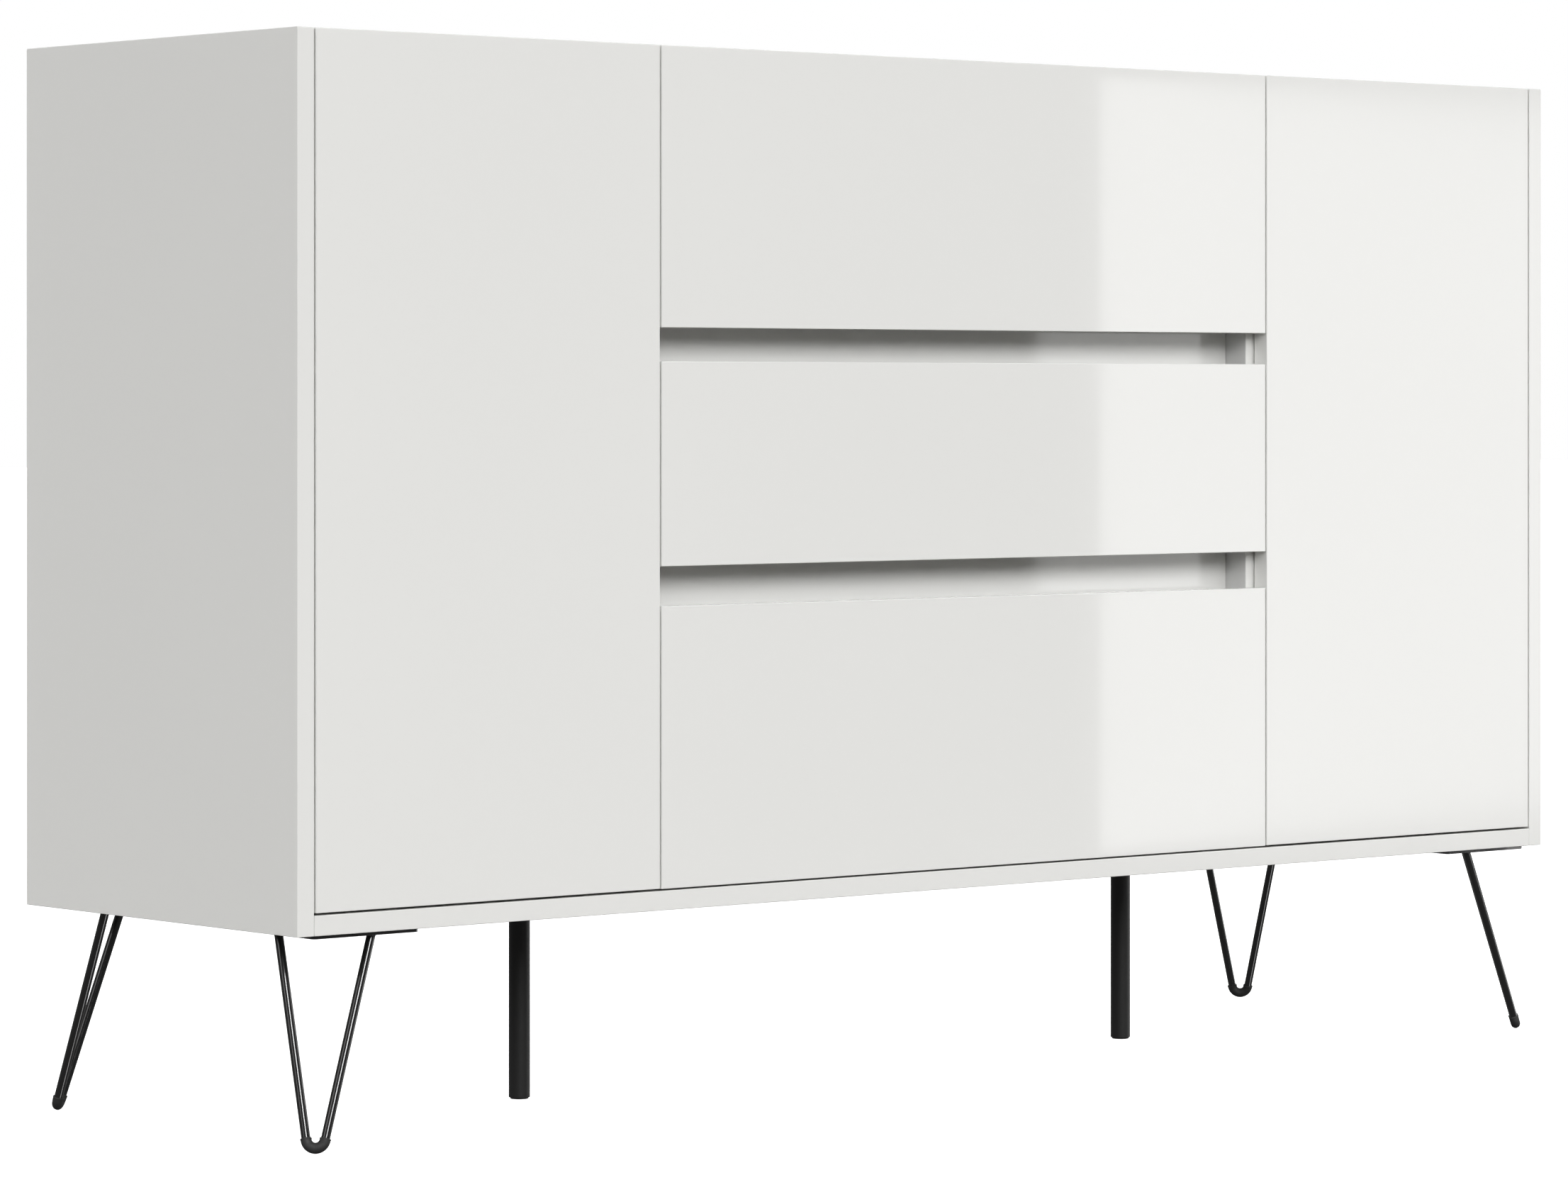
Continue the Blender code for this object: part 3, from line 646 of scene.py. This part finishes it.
def make_push_latches():
    """A housing on two screwed ears under the top, and its plunger with a soft round tip."""
    for side in SIDES:
        low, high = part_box("push_latch_housing_" + side)
        rod_low, rod_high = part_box("push_latch_plunger_" + side)
        centre = middle("push_latch_plunger_" + side)
        radius = (rod_high.x - rod_low.x) / 2
        depth = rod_high.y - low.y + LATCH_SPARE
        points, faces = bored_board(low, high, centre.x, [centre.z], radius + LATCH_PLAY, depth, 32)
        # Turned front to back, so that the bore opens at the front.
        points[:, 1] = low.y + high.y - points[:, 1]
        ear_low = (centre.x - EAR_HALF, centre.y + EAR_DEPTHS[0], high.z - EAR_THICK)
        ear_high = (centre.x + EAR_HALF, centre.y + EAR_DEPTHS[1], high.z)
        surface = together((points, faces), board(ear_low, ear_high))
        housing = "push_latch_housing_" + side
        piece("push_latch_body_" + side, surface, "carcass", "grey_plastic", [housing], LATCH_EDGE)
        across, back = EAR_SCREW_SPOT
        places = [(centre.x + turn * across, centre.y + back, ear_low[2]) for turn in (-1, 1)]
        heads = [screw_head(spot, DOWN, *LATCH_SCREW) for spot in places]
        piece("push_latch_screws_" + side, together(*heads), "carcass", "zinc_steel")
        length = rod_high.y - rod_low.y
        tip = radius - TIP_STEP
        profile = [(0, 0), (tip, 0), (tip, TIP_LENGTH), (radius, TIP_LENGTH), (radius, length), (0, length)]
        profile = rounded(profile, TIP_SOFT, closed=False)
        surface = turned(profile, (centre.x, rod_low.y, centre.z), REARWARD, 32)
        body = "push_plunger_" + side
        piece("push_plunger_rod_" + side, surface, body, "grey_plastic", ["push_latch_plunger_" + side])


# ---------------------------------------------------------------- drawers and runners
DRAWER_STEEL = 0.0015
DRAWER_BEND = 0.0011
RUNNER_STEEL = 0.0012
RUNNER_BEND = 0.001
RUNNER_LIP = 0.004
RUNNER_SCREW = (0.0024, 0.0008)
RUNNER_SCREW_SPOTS = (0.030, 0.160, 0.300)
RUNNER_SCREW_DROP = 0.0032
FLANGE_RISE = 0.022
FLANGE_LIP = 0.005
BAND_SPAN = (0.3, 0.72)
BAND_DEPTH = 0.0016
BAND_SLOPE = 0.003
HEM_GAP = 0.00225
HEM_DROP = 0.0055
WHEEL_RADIUS = 0.0062
WHEEL_SOFT = 0.0006
HUB_RADIUS = 0.003
HUB_SINK = 0.0008
DRAWER_WHEEL_WIDTH = 0.0045
# Out from the web, forward from the steel's rear end, and up from its lower edge.
DRAWER_WHEEL_SPOT = (0.0055, 0.022, 0.0139)
RUNNER_WHEEL_WIDTH = 0.0055
# In from the channel, back from its front end, and the play under the drawer's flange.
RUNNER_WHEEL_SPOT = (0.0062, 0.014, 0.0002)
AXLE_RADIUS = 0.0012
AXLE_LENGTH = 0.0035
BRACKET_WIDTH = 0.016
BRACKET_STEEL = 0.0015
# Above the bottom board, and below the steel's upper edge.
BRACKET_ENDS = (0.003, 0.006)
BRACKET_CORNER = 0.003
BRACKET_SCREW = (0.0036, 0.0016)
BRACKET_SCREW_INSET = 0.011


def wheel(place, toward, width):
    """A roller with soft rims and a hub sunk into its outer face."""
    half = width / 2
    sunk = half - HUB_SINK
    rims = [(0, -half), (WHEEL_RADIUS, -half), (WHEEL_RADIUS, half)]
    profile = rims + [(HUB_RADIUS, half), (HUB_RADIUS, sunk), (0, sunk)]
    return turned(rounded(profile, WHEEL_SOFT, closed=False), place, toward, 40)


def make_drawer_sides():
    """Folded steel with a running flange, a bracket to the front and a roller at the back.

    The fold is a foot under the bottom board, a web with an embossed band, and a hem over the top.
    """
    for level in LEVELS:
        body = "drawer_" + level
        for side, sign in SIDES.items():
            name = level + "_" + side
            node = "drawer_side_" + name
            low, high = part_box(node)
            inner, outer = inner_and_outer(node, sign)
            half = DRAWER_STEEL / 2
            web = inner_and_outer("drawer_bottom_" + level, sign)[1] + sign * (TOUCH + half)
            rise = high.z - low.z
            band_low, band_high = [low.z + FLANGE_RISE + part * (rise - FLANGE_RISE) for part in BAND_SPAN]
            band = web + sign * BAND_DEPTH
            hem = web + sign * (half + HEM_GAP)
            line = [
                (inner, low.z + half), (web, low.z + half), (web, band_low), (band, band_low + BAND_SLOPE),
                (band, band_high - BAND_SLOPE), (web, band_high), (web, high.z - half), (hem, high.z - half),
                (hem, high.z - HEM_DROP),
            ]
            flange = low.z + FLANGE_RISE + half
            lip = outer - sign * half
            running = [(web, flange), (lip, flange), (lip, low.z + FLANGE_RISE - FLANGE_LIP)]
            surface = together(
                carried(bent_sheet(line, DRAWER_STEEL, DRAWER_BEND), "Y", low.y, high.y),
                carried(bent_sheet(running, DRAWER_STEEL, DRAWER_BEND), "Y", low.y, high.y),
            )
            piece("drawer_steel_" + name, surface, body, "coated_steel", [node], SHEET_EDGE)
            make_front_bracket(name, body, sign, web - sign * half, (low, high))
            out, forward, up = DRAWER_WHEEL_SPOT
            hub = np.array((web + sign * out, high.y - forward, low.z + up))
            roller = wheel(hub, (sign, 0, 0), DRAWER_WHEEL_WIDTH)
            piece("drawer_wheel_" + name, roller, body, "grey_plastic")


def make_front_bracket(name, body, sign, web, box):
    """The plate that holds a steel side to its front, with its screws."""
    low, high = box
    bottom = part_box("drawer_bottom_" + name.split("_")[0])[1].z
    near, far = sorted((web, web - sign * BRACKET_WIDTH))
    foot = bottom + BRACKET_ENDS[0]
    head = high.z - BRACKET_ENDS[1]
    back = low.y + BRACKET_STEEL
    outline = rounded([(near, foot), (far, foot), (far, head), (near, head)], BRACKET_CORNER)
    surface = carried(outline, "Y", low.y, back)
    piece("front_bracket_" + name, surface, body, "coated_steel", edge=SHEET_EDGE)
    heights = np.linspace(foot + BRACKET_SCREW_INSET, head - BRACKET_SCREW_INSET, 3)
    heads = [screw_head(((near + far) / 2, back, z), REARWARD, *BRACKET_SCREW) for z in heights]
    piece("front_bracket_screws_" + name, together(*heads), body, "zinc_steel")


def make_runners():
    """Folded channels screwed to the dividers, each with the front roller that carries the drawer."""
    for level in LEVELS:
        for side, sign in SIDES.items():
            name = level + "_" + side
            node = "cabinet_runner_" + name
            low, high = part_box(node)
            wall = inner_and_outer(node, sign)[1]
            inward = -sign
            half = RUNNER_STEEL / 2
            back = wall + inward * half
            lip = wall + inward * (high.x - low.x - half)
            line = [(back, high.z), (back, low.z + half), (lip, low.z + half), (lip, low.z + RUNNER_LIP)]
            surface = carried(bent_sheet(line, RUNNER_STEEL, RUNNER_BEND), "Y", low.y, high.y)
            piece("runner_steel_" + name, surface, "carcass", "coated_steel", [node], SHEET_EDGE)
            face = wall + inward * RUNNER_STEEL
            toward = (inward, 0, 0)
            places = [(face, low.y + reach, high.z - RUNNER_SCREW_DROP) for reach in RUNNER_SCREW_SPOTS]
            heads = [screw_head(place, toward, *RUNNER_SCREW) for place in places]
            piece("runner_screws_" + name, together(*heads), "carcass", "zinc_steel")
            out, behind, play = RUNNER_WHEEL_SPOT
            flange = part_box("drawer_side_" + name)[0].z + FLANGE_RISE
            hub = np.array((face + inward * out, low.y + behind, flange - WHEEL_RADIUS - play))
            profile = [(0, 0), (AXLE_RADIUS, 0), (AXLE_RADIUS, AXLE_LENGTH), (0, AXLE_LENGTH)]
            axle = turned(profile, (face, hub[1], hub[2]), toward, 16)
            piece("runner_axle_" + name, axle, "carcass", "zinc_steel")
            roller = wheel(hub, toward, RUNNER_WHEEL_WIDTH)
            piece("runner_wheel_" + name, roller, "carcass", "grey_plastic")


# ---------------------------------------------------------------- small fittings of the carcass
# Radius and height from the wall: a collar, a stub and its chamfered end.
PIN_PROFILE = (
    (0, 0), (0.004, 0), (0.004, 0.0008), (0.0025, 0.0008), (0.0025, 0.0082), (0.0021, 0.0088), (0, 0.0088),
)
PIN_INSET = 0.045
PIN_DROP = 0.0026
CAM_DISC = (0.0074, 0.0006)
CAM_INSET = 0.034
CAM_DEPTHS = (-0.12, 0.13)
BACK_NAIL = (0.0032, 0.0009)
BACK_NAIL_INSET = 0.06
BACK_NAILS = 6


def make_shelf_pins():
    """Pins with a collar in the gap beside the shelf and a stub under it."""
    for side, sign in SIDES.items():
        low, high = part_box("shelf_" + side)
        panel = inner_and_outer("side_panel_" + side, sign)[0]
        divider = inner_and_outer("divider_" + side, sign)[1]
        pins = []
        for wall, inward in ((panel, -sign), (divider, sign)):
            for y in (low.y + PIN_INSET, high.y - PIN_INSET):
                pins.append(turned(PIN_PROFILE, (wall, y, low.z - PIN_DROP), (inward, 0, 0), 32))
        piece("shelf_pins_" + side, together(*pins), "carcass", "zinc_steel")


def make_cams():
    """Cam discs of the corner joints, on the inner faces of the top and the bottom near the sides."""
    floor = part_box("bottom_panel")[1].z
    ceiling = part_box("top_panel")[0].z
    for side, sign in SIDES.items():
        x = inner_and_outer("side_panel_" + side, sign)[0] - sign * CAM_INSET
        cams = [screw_head((x, y, floor), UP, *CAM_DISC) for y in CAM_DEPTHS]
        cams += [screw_head((x, y, ceiling), DOWN, *CAM_DISC) for y in CAM_DEPTHS]
        piece("cam_discs_" + side, together(*cams), "carcass", "zinc_steel")


def make_back_nails():
    """Two rows of flat cross-recessed heads that hold the back to the dividers."""
    low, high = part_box("back_panel")
    heights = np.linspace(low.z + BACK_NAIL_INSET, high.z - BACK_NAIL_INSET, BACK_NAILS)
    for side in SIDES:
        x = middle("divider_" + side).x
        heads = [screw_head((x, high.y, z), REARWARD, *BACK_NAIL) for z in heights]
        piece("back_screws_" + side, together(*heads), "carcass", "zinc_steel")


# ---------------------------------------------------------------- legs and feet
PLATE_THICK = 0.003
PLATE_CORNER = 0.004
PLATE_EDGE = 0.0003
PLATE_SCREW = (0.0044, 0.0004)
PLATE_SCREW_INSET = 0.012
ROD_RADIUS = 0.004
ROD_NEAR = 0.014
ROD_FAR = 0.073
TIP_INSET = 0.0058
BEND_RADIUS = 0.0085
CAP_RADIUS = 0.0051
CAP_LAP = 0.002
# The lip's rise, place and width, and the depth and reach of the softened mouth.
CAP_LIP = (0.0003, 0.0008, 0.0007)
CAP_SOFT = (0.0006, 0.0003)
CAP_THIN = 0.0002
WELD_FOOT = 0.0064
WELD_WAIST = 0.0040
WELD_TOP = 0.0041
WELD_LENGTH = 0.0026
WELD_RIPPLE = 0.05
WELD_RIPPLES = 9
FOOT_RADIUS = 0.010
GLIDE_RADIUS = 0.0086
GLIDE_RISE = 0.0014
FOOT_FLANGE = 0.0025
FOOT_SOFT = 0.0006
FOOT_SCREW = (0.0034, 0.0016)
FOOT_SCREW_CIRCLE = 0.0175
FOOT_SCREW_ANGLES = np.radians([30, 150, 270])


def bent_rod(corner, along, inward):
    """Centre line and tangents of a rod: straight down, round a bend at the floor, and straight up.

    Bend(t) = centre + (spread cos t + lean sin t) radius, between the angles at which the straight rods
    touch it.
    """
    first = corner + along * ROD_FAR + inward * ROD_NEAR - (0, 0, PLATE_THICK / 2)
    last = corner + along * ROD_NEAR + inward * ROD_FAR - (0, 0, PLATE_THICK / 2)
    tip = corner + (along + inward) * TIP_INSET
    tip[2] = CAP_RADIUS
    centre_top = (first + last) / 2
    lean = unit(tip - centre_top)
    spread = unit(first - last)
    centre = tip - lean * BEND_RADIUS
    fall = np.linalg.norm(centre - centre_top)
    half = np.linalg.norm(first - last) / 2
    swing = math.atan2(half, fall) - math.asin(BEND_RADIUS / math.hypot(fall, half))
    turn = np.linspace(swing, math.pi - swing, 33)[:, None]
    bend = centre + (spread * np.cos(turn) + lean * np.sin(turn)) * BEND_RADIUS
    tangent = lean * np.cos(turn) - spread * np.sin(turn)
    line = np.vstack([first, bend, last])
    return line, np.vstack([tangent[:1], tangent, tangent[-1:]]), np.cross(spread, lean)


def weld(top, direction, below):
    """Point(u, v) = (1-u)^2 plate(v) + 2u(1-u) corner(v) + u^2 rod(v): a hollow fillet round a leaning rod.

    Plate, corner and rod are rings on the plate's underside, where the rod leaves it and a little way down
    the rod.
    """
    sides = 40
    ring, _ = spokes(UP, sides)
    angle = np.linspace(0, FULL_TURN, sides, endpoint=False)[:, None]
    drop = (below - top[2]) / direction[2]
    exit_spot = top + direction * drop
    ripple = 1 + WELD_RIPPLE * np.sin(WELD_RIPPLES * angle)
    plate = exit_spot + ring * WELD_FOOT * ripple
    corner = exit_spot + ring * WELD_WAIST
    rod = exit_spot + direction * WELD_LENGTH + ring * WELD_TOP
    u = np.linspace(0, 1, 7)[:, None, None]
    skin = (1 - u) ** 2 * plate + 2 * u * (1 - u) * corner + u ** 2 * rod
    start = np.broadcast_to(exit_spot + (0, 0, PLATE_THICK / 3), (1, sides, 3))
    end = np.broadcast_to(exit_spot + direction * WELD_LENGTH, (1, sides, 3))
    return np.concatenate([start, skin, end]).reshape(-1, 3), grid(9, sides)


def make_legs():
    """Each leg: a plate, a bent rod with its two welds, four screws, and a rubber cap on the bend."""
    for name, (sign_x, sign_y) in CORNERS.items():
        node = "hairpin_leg_" + name
        low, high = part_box(node)
        corner = np.array((high.x if sign_x > 0 else low.x, high.y if sign_y > 0 else low.y, high.z))
        along = np.array((-sign_x, 0, 0))
        inward = np.array((0, -sign_y, 0))
        square = [(low.x, low.y), (high.x, low.y), (high.x, high.y), (low.x, high.y)]
        below = high.z - PLATE_THICK
        plate = carried(rounded(square, PLATE_CORNER, steps=6), "Z", below, high.z)
        piece("leg_plate_" + name, plate, "carcass", "black_lacquered_steel", edge=PLATE_EDGE)
        line, tangent, across = bent_rod(corner, along, inward)
        rod = tube(line, tangent, across, np.full(len(line), ROD_RADIUS))
        welds = [weld(line[0], tangent[0], below), weld(line[-1], -tangent[-1], below)]
        surface = together(rod, *welds)
        piece("leg_rod_" + name, surface, "carcass", "black_lacquered_steel", [node])
        reach = (PLATE_SCREW_INSET, high.x - low.x - PLATE_SCREW_INSET)
        under = corner - (0, 0, PLATE_THICK)
        places = [under + along * a + inward * b for a in reach for b in reach]
        heads = [screw_head(place, DOWN, *PLATE_SCREW) for place in places]
        piece("leg_screws_" + name, together(*heads), "carcass", "black_lacquered_steel")
        make_cap(name, line[1:-1], tangent[1:-1], across)


def make_cap(name, line, tangent, across):
    """A rubber sleeve on the bend, a little thicker near both mouths.

    Radius(s) = base + lip exp(-((s - place) / width)^2) - soft exp(-(s / reach)^2), with s the way along the
    bend from the nearer mouth.
    """
    lap = np.linspace(CAP_LAP, 0, 5)[:, None]
    line = np.vstack([line[:1] - tangent[:1] * lap, line[1:-1], line[-1:] + tangent[-1:] * lap[::-1]])
    tangent = np.vstack([np.repeat(tangent[:1], 5, 0), tangent[1:-1], np.repeat(tangent[-1:], 5, 0)])
    run = np.concatenate([[0], np.cumsum(np.linalg.norm(np.diff(line, axis=0), axis=1))])
    from_mouth = np.minimum(run, run[-1] - run)
    rise, place, width = CAP_LIP
    lip = rise * np.exp(-((from_mouth - place) / width) ** 2)
    soft = CAP_SOFT[0] * np.exp(-(from_mouth / CAP_SOFT[1]) ** 2)
    sleeve = tube(line, tangent, across, CAP_RADIUS - CAP_THIN + lip - soft)
    piece("leg_cap_" + name, sleeve, "carcass", "black_rubber", ["foot_cap_" + name])


def make_middle_feet():
    """Turned feet with a screwed flange, a soft lower edge and a thin glide set into the end."""
    for side in SIDES:
        low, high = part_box("middle_foot_" + side)
        centre = middle("middle_foot_" + side)
        flange = (high.x - low.x) / 2
        height = high.z - low.z
        under = height - FOOT_FLANGE
        profile = [
            (0, 0), (GLIDE_RADIUS, 0), (GLIDE_RADIUS, GLIDE_RISE), (FOOT_RADIUS, GLIDE_RISE),
            (FOOT_RADIUS, under), (flange, under), (flange, height), (0, height),
        ]
        profile = rounded(profile, FOOT_SOFT, closed=False)
        foot = turned(profile, (centre.x, centre.y, low.z), UP, 64)
        piece("foot_turned_" + side, foot, "carcass", "black_plastic", ["middle_foot_" + side])
        ring = FOOT_SCREW_CIRCLE * np.stack([np.cos(FOOT_SCREW_ANGLES), np.sin(FOOT_SCREW_ANGLES)], 1)
        places = [(centre.x + x, centre.y + y, high.z - FOOT_FLANGE) for x, y in ring]
        heads = [screw_head(place, DOWN, *FOOT_SCREW) for place in places]
        piece("foot_screws_" + side, together(*heads), "carcass", "black_lacquered_steel")


# ---------------------------------------------------------------- studio
FLOOR_HALF = 40.0
FLOOR_COLOUR = (0.8, 0.8, 0.8)
FLOOR_GLOW = 0.85
FLOOR_LIGHT = (0.012, 0.011, 0.009)
BAND_LIGHT = (1.0, 1.0, 1.0)
TOP_LIGHT = (0.02, 0.02, 0.02)
BAND_STRENGTH = 4.22
# Places from straight down to straight up, and the light at each.
RAMP = ((0.0, FLOOR_LIGHT), (0.57, FLOOR_LIGHT), (0.635, BAND_LIGHT), (0.72, BAND_LIGHT), (0.79, TOP_LIGHT))
KEY_DIRECTION = (0.64, -0.77, 0.0)
KEY_LEAN = 0.25
SURROUND_RADIUS = 30
SURROUND_GLOW = 0.16
SHEEN_NEAR = (0.35, -0.412)
SHEEN_FAR = (3.854, -2.727)
SHEEN_LOWS = (0.195, -0.042)
SHEEN_HIGHS = (0.99, 1.15)
SHEEN_GLOW = 2.5
OVERHEAD_LOW = (-2.2, -2.4)
OVERHEAD_HIGH = (2.2, 1.2)
OVERHEAD_HEIGHT = 3.4
OVERHEAD_GLOW = 1.6
STRIP_DISTANCE = 9.0
# Each strip's first and last bearing in degrees, its lower and upper height, and its strength.
STRIPS = {
    "strip_bright": (-118, -102, 2.2, 8.5, 20.0),
    "strip_left": (-186, -168, 2.2, 8.5, 2.6),
    "strip_right": (-36, 6, -1.5, 0.4, 2.0),
    "strip_low": (-88, -70, -8.6, -5.2, 5.5),
}
LENS = 132.24
SENSOR_WIDTH = 36
VIEW_SHIFT = -0.1245
VIEW_REACH = 200
EYE = (-3.726, -4.306, 0.664)
HEADING = math.radians(-40.403)


def emitter(name, surface, colour, strength):
    """A stage object with a glow and a dull colour, which sheds no light on the cabinet's dull surfaces."""
    points, faces = surface
    made = bpy.data.objects.new(name, bpy.data.meshes.new(name))
    made.data.from_pydata(points, [], faces)
    glow = bpy.data.materials.new(name)
    glow.use_nodes = True
    shader = glow.node_tree.nodes["Principled BSDF"]
    shader.inputs["Base Color"].default_value = (*colour, 1)
    shader.inputs["Roughness"].default_value = 0.9
    shader.inputs["Specular IOR Level"].default_value = 0.0
    shader.inputs["Emission Color"].default_value = (1, 1, 1, 1)
    shader.inputs["Emission Strength"].default_value = strength
    made.data.materials.append(glow)
    made.visible_diffuse = False
    bpy.context.scene.collection.objects.link(made)
    return made


def level_sheet(low, high, height):
    """A level rectangle between two corners in plan."""
    plan = [(low[0], low[1]), (high[0], low[1]), (high[0], high[1]), (low[0], high[1])]
    return [(x, y, height) for x, y in plan], [(0, 1, 2, 3)]


def make_floor():
    """A pale floor that runs out of sight; gloss doesn't mirror it."""
    sheet = level_sheet((-FLOOR_HALF, -FLOOR_HALF), (FLOOR_HALF, FLOOR_HALF), 0)
    floor = emitter("floor", sheet, FLOOR_COLOUR, FLOOR_GLOW)
    floor.visible_glossy = False


def make_glow(name, surface, strength):
    """Light that only shows in gloss."""
    made = emitter(name, surface, (0, 0, 0), strength)
    made.visible_camera = False
    made.visible_shadow = False
    made.visible_transmission = False


def upright(near, far, lows, highs):
    """An upright four-sided card over a line in plan, with its own lower and upper height at each end."""
    return [(*near, lows[0]), (*far, lows[1]), (*far, highs[1]), (*near, highs[0])], [(0, 1, 2, 3)]


def make_glows():
    """What the gloss mirrors: an even surround, a card, strips and an overhead box."""
    angle = np.linspace(0, math.pi, 25)
    profile = SURROUND_RADIUS * np.stack([np.sin(angle), -np.cos(angle)], 1)
    make_glow("surround", turned(profile, (0, 0, 0), UP), SURROUND_GLOW)
    make_glow("sheen_card", upright(SHEEN_NEAR, SHEEN_FAR, SHEEN_LOWS, SHEEN_HIGHS), SHEEN_GLOW)
    for name, (first, last, low, high, strength) in STRIPS.items():
        bearing = np.radians((first, last))
        ends = STRIP_DISTANCE * np.stack([np.cos(bearing), np.sin(bearing)], 1)
        make_glow(name, upright(*ends, (low, low), (high, high)), strength)
    make_glow("overhead_box", level_sheet(OVERHEAD_LOW, OVERHEAD_HIGH, OVERHEAD_HEIGHT), OVERHEAD_GLOW)


def make_world():
    """Soft light from a broad band above the horizon, strongest from the front right.

    Light(direction) = strength level(height) (1 + lean (direction . key)), with the level given by a ramp
    from straight down to straight up. The camera sees a white background instead, and gloss sees neither.
    """
    world = bpy.data.worlds.new("studio")
    world.use_nodes = True
    tree = world.node_tree
    tree.nodes.clear()
    direction = tree.nodes.new("ShaderNodeTexCoord").outputs["Generated"]
    split = tree.nodes.new("ShaderNodeSeparateXYZ")
    tree.links.new(direction, split.inputs["Vector"])
    height = tree.nodes.new("ShaderNodeMapRange")
    height.inputs["From Min"].default_value = -1
    tree.links.new(split.outputs["Z"], height.inputs["Value"])
    ramp = tree.nodes.new("ShaderNodeValToRGB")
    tree.links.new(height.outputs["Result"], ramp.inputs["Fac"])
    while len(ramp.color_ramp.elements) < len(RAMP):
        ramp.color_ramp.elements.new(0.5)
    for element, (place, colour) in zip(ramp.color_ramp.elements, RAMP):
        element.position = place
        element.color = (*colour, 1)
    facing = tree.nodes.new("ShaderNodeVectorMath")
    facing.operation = "DOT_PRODUCT"
    facing.inputs[1].default_value = KEY_DIRECTION
    tree.links.new(direction, facing.inputs[0])
    strength = tree.nodes.new("ShaderNodeMath")
    strength.operation = "MULTIPLY_ADD"
    strength.inputs[1].default_value = BAND_STRENGTH * KEY_LEAN
    strength.inputs[2].default_value = BAND_STRENGTH
    tree.links.new(facing.outputs["Value"], strength.inputs[0])
    lighting = tree.nodes.new("ShaderNodeBackground")
    tree.links.new(ramp.outputs["Color"], lighting.inputs["Color"])
    tree.links.new(strength.outputs["Value"], lighting.inputs["Strength"])
    backdrop = tree.nodes.new("ShaderNodeBackground")
    backdrop.inputs["Color"].default_value = (1, 1, 1, 1)
    path = tree.nodes.new("ShaderNodeLightPath")
    chosen = tree.nodes.new("ShaderNodeMixShader")
    tree.links.new(path.outputs["Is Camera Ray"], chosen.inputs["Fac"])
    tree.links.new(lighting.outputs["Background"], chosen.inputs[1])
    tree.links.new(backdrop.outputs["Background"], chosen.inputs[2])
    output = tree.nodes.new("ShaderNodeOutputWorld")
    tree.links.new(chosen.outputs["Shader"], output.inputs["Surface"])
    bpy.context.scene.world = world
    world.cycles_visibility.glossy = False


def make_camera():
    """A level camera in front of the left side, shifted down, so that upright edges stay upright."""
    data = bpy.data.cameras.new("camera")
    data.lens = LENS
    data.sensor_width = SENSOR_WIDTH
    data.shift_y = VIEW_SHIFT
    data.clip_end = VIEW_REACH
    made = bpy.data.objects.new("camera", data)
    made.location = EYE
    made.rotation_euler = (math.radians(90), 0, HEADING)
    bpy.context.scene.collection.objects.link(made)
    bpy.context.scene.camera = made


def make_studio():
    """The surroundings, the light and the view."""
    make_floor()
    make_glows()
    make_world()
    make_camera()
    bpy.context.scene.view_settings.view_transform = "Standard"


RECORD_COLOURS = {row["slot"]: row["base_color"] for row in frame["record"]["materials"]}
FINISHES = {
    "gloss_lacquer": gloss_lacquer(),
    "melamine": melamine(),
    "hardboard": hardboard(),
    "coated_steel": coated_steel(),
    "zinc_steel": zinc_steel(),
    "black_lacquered_steel": black_lacquered_steel(),
    "black_rubber": black_rubber(),
    "black_plastic": black_plastic(),
    "grey_plastic": grey_plastic(),
}
make_plain_boards()
make_dividers()
make_grooved_boards()
make_doors()
make_hinges()
make_push_latches()
make_drawer_sides()
make_runners()
make_shelf_pins()
make_cams()
make_back_nails()
make_legs()
make_middle_feet()
make_studio()
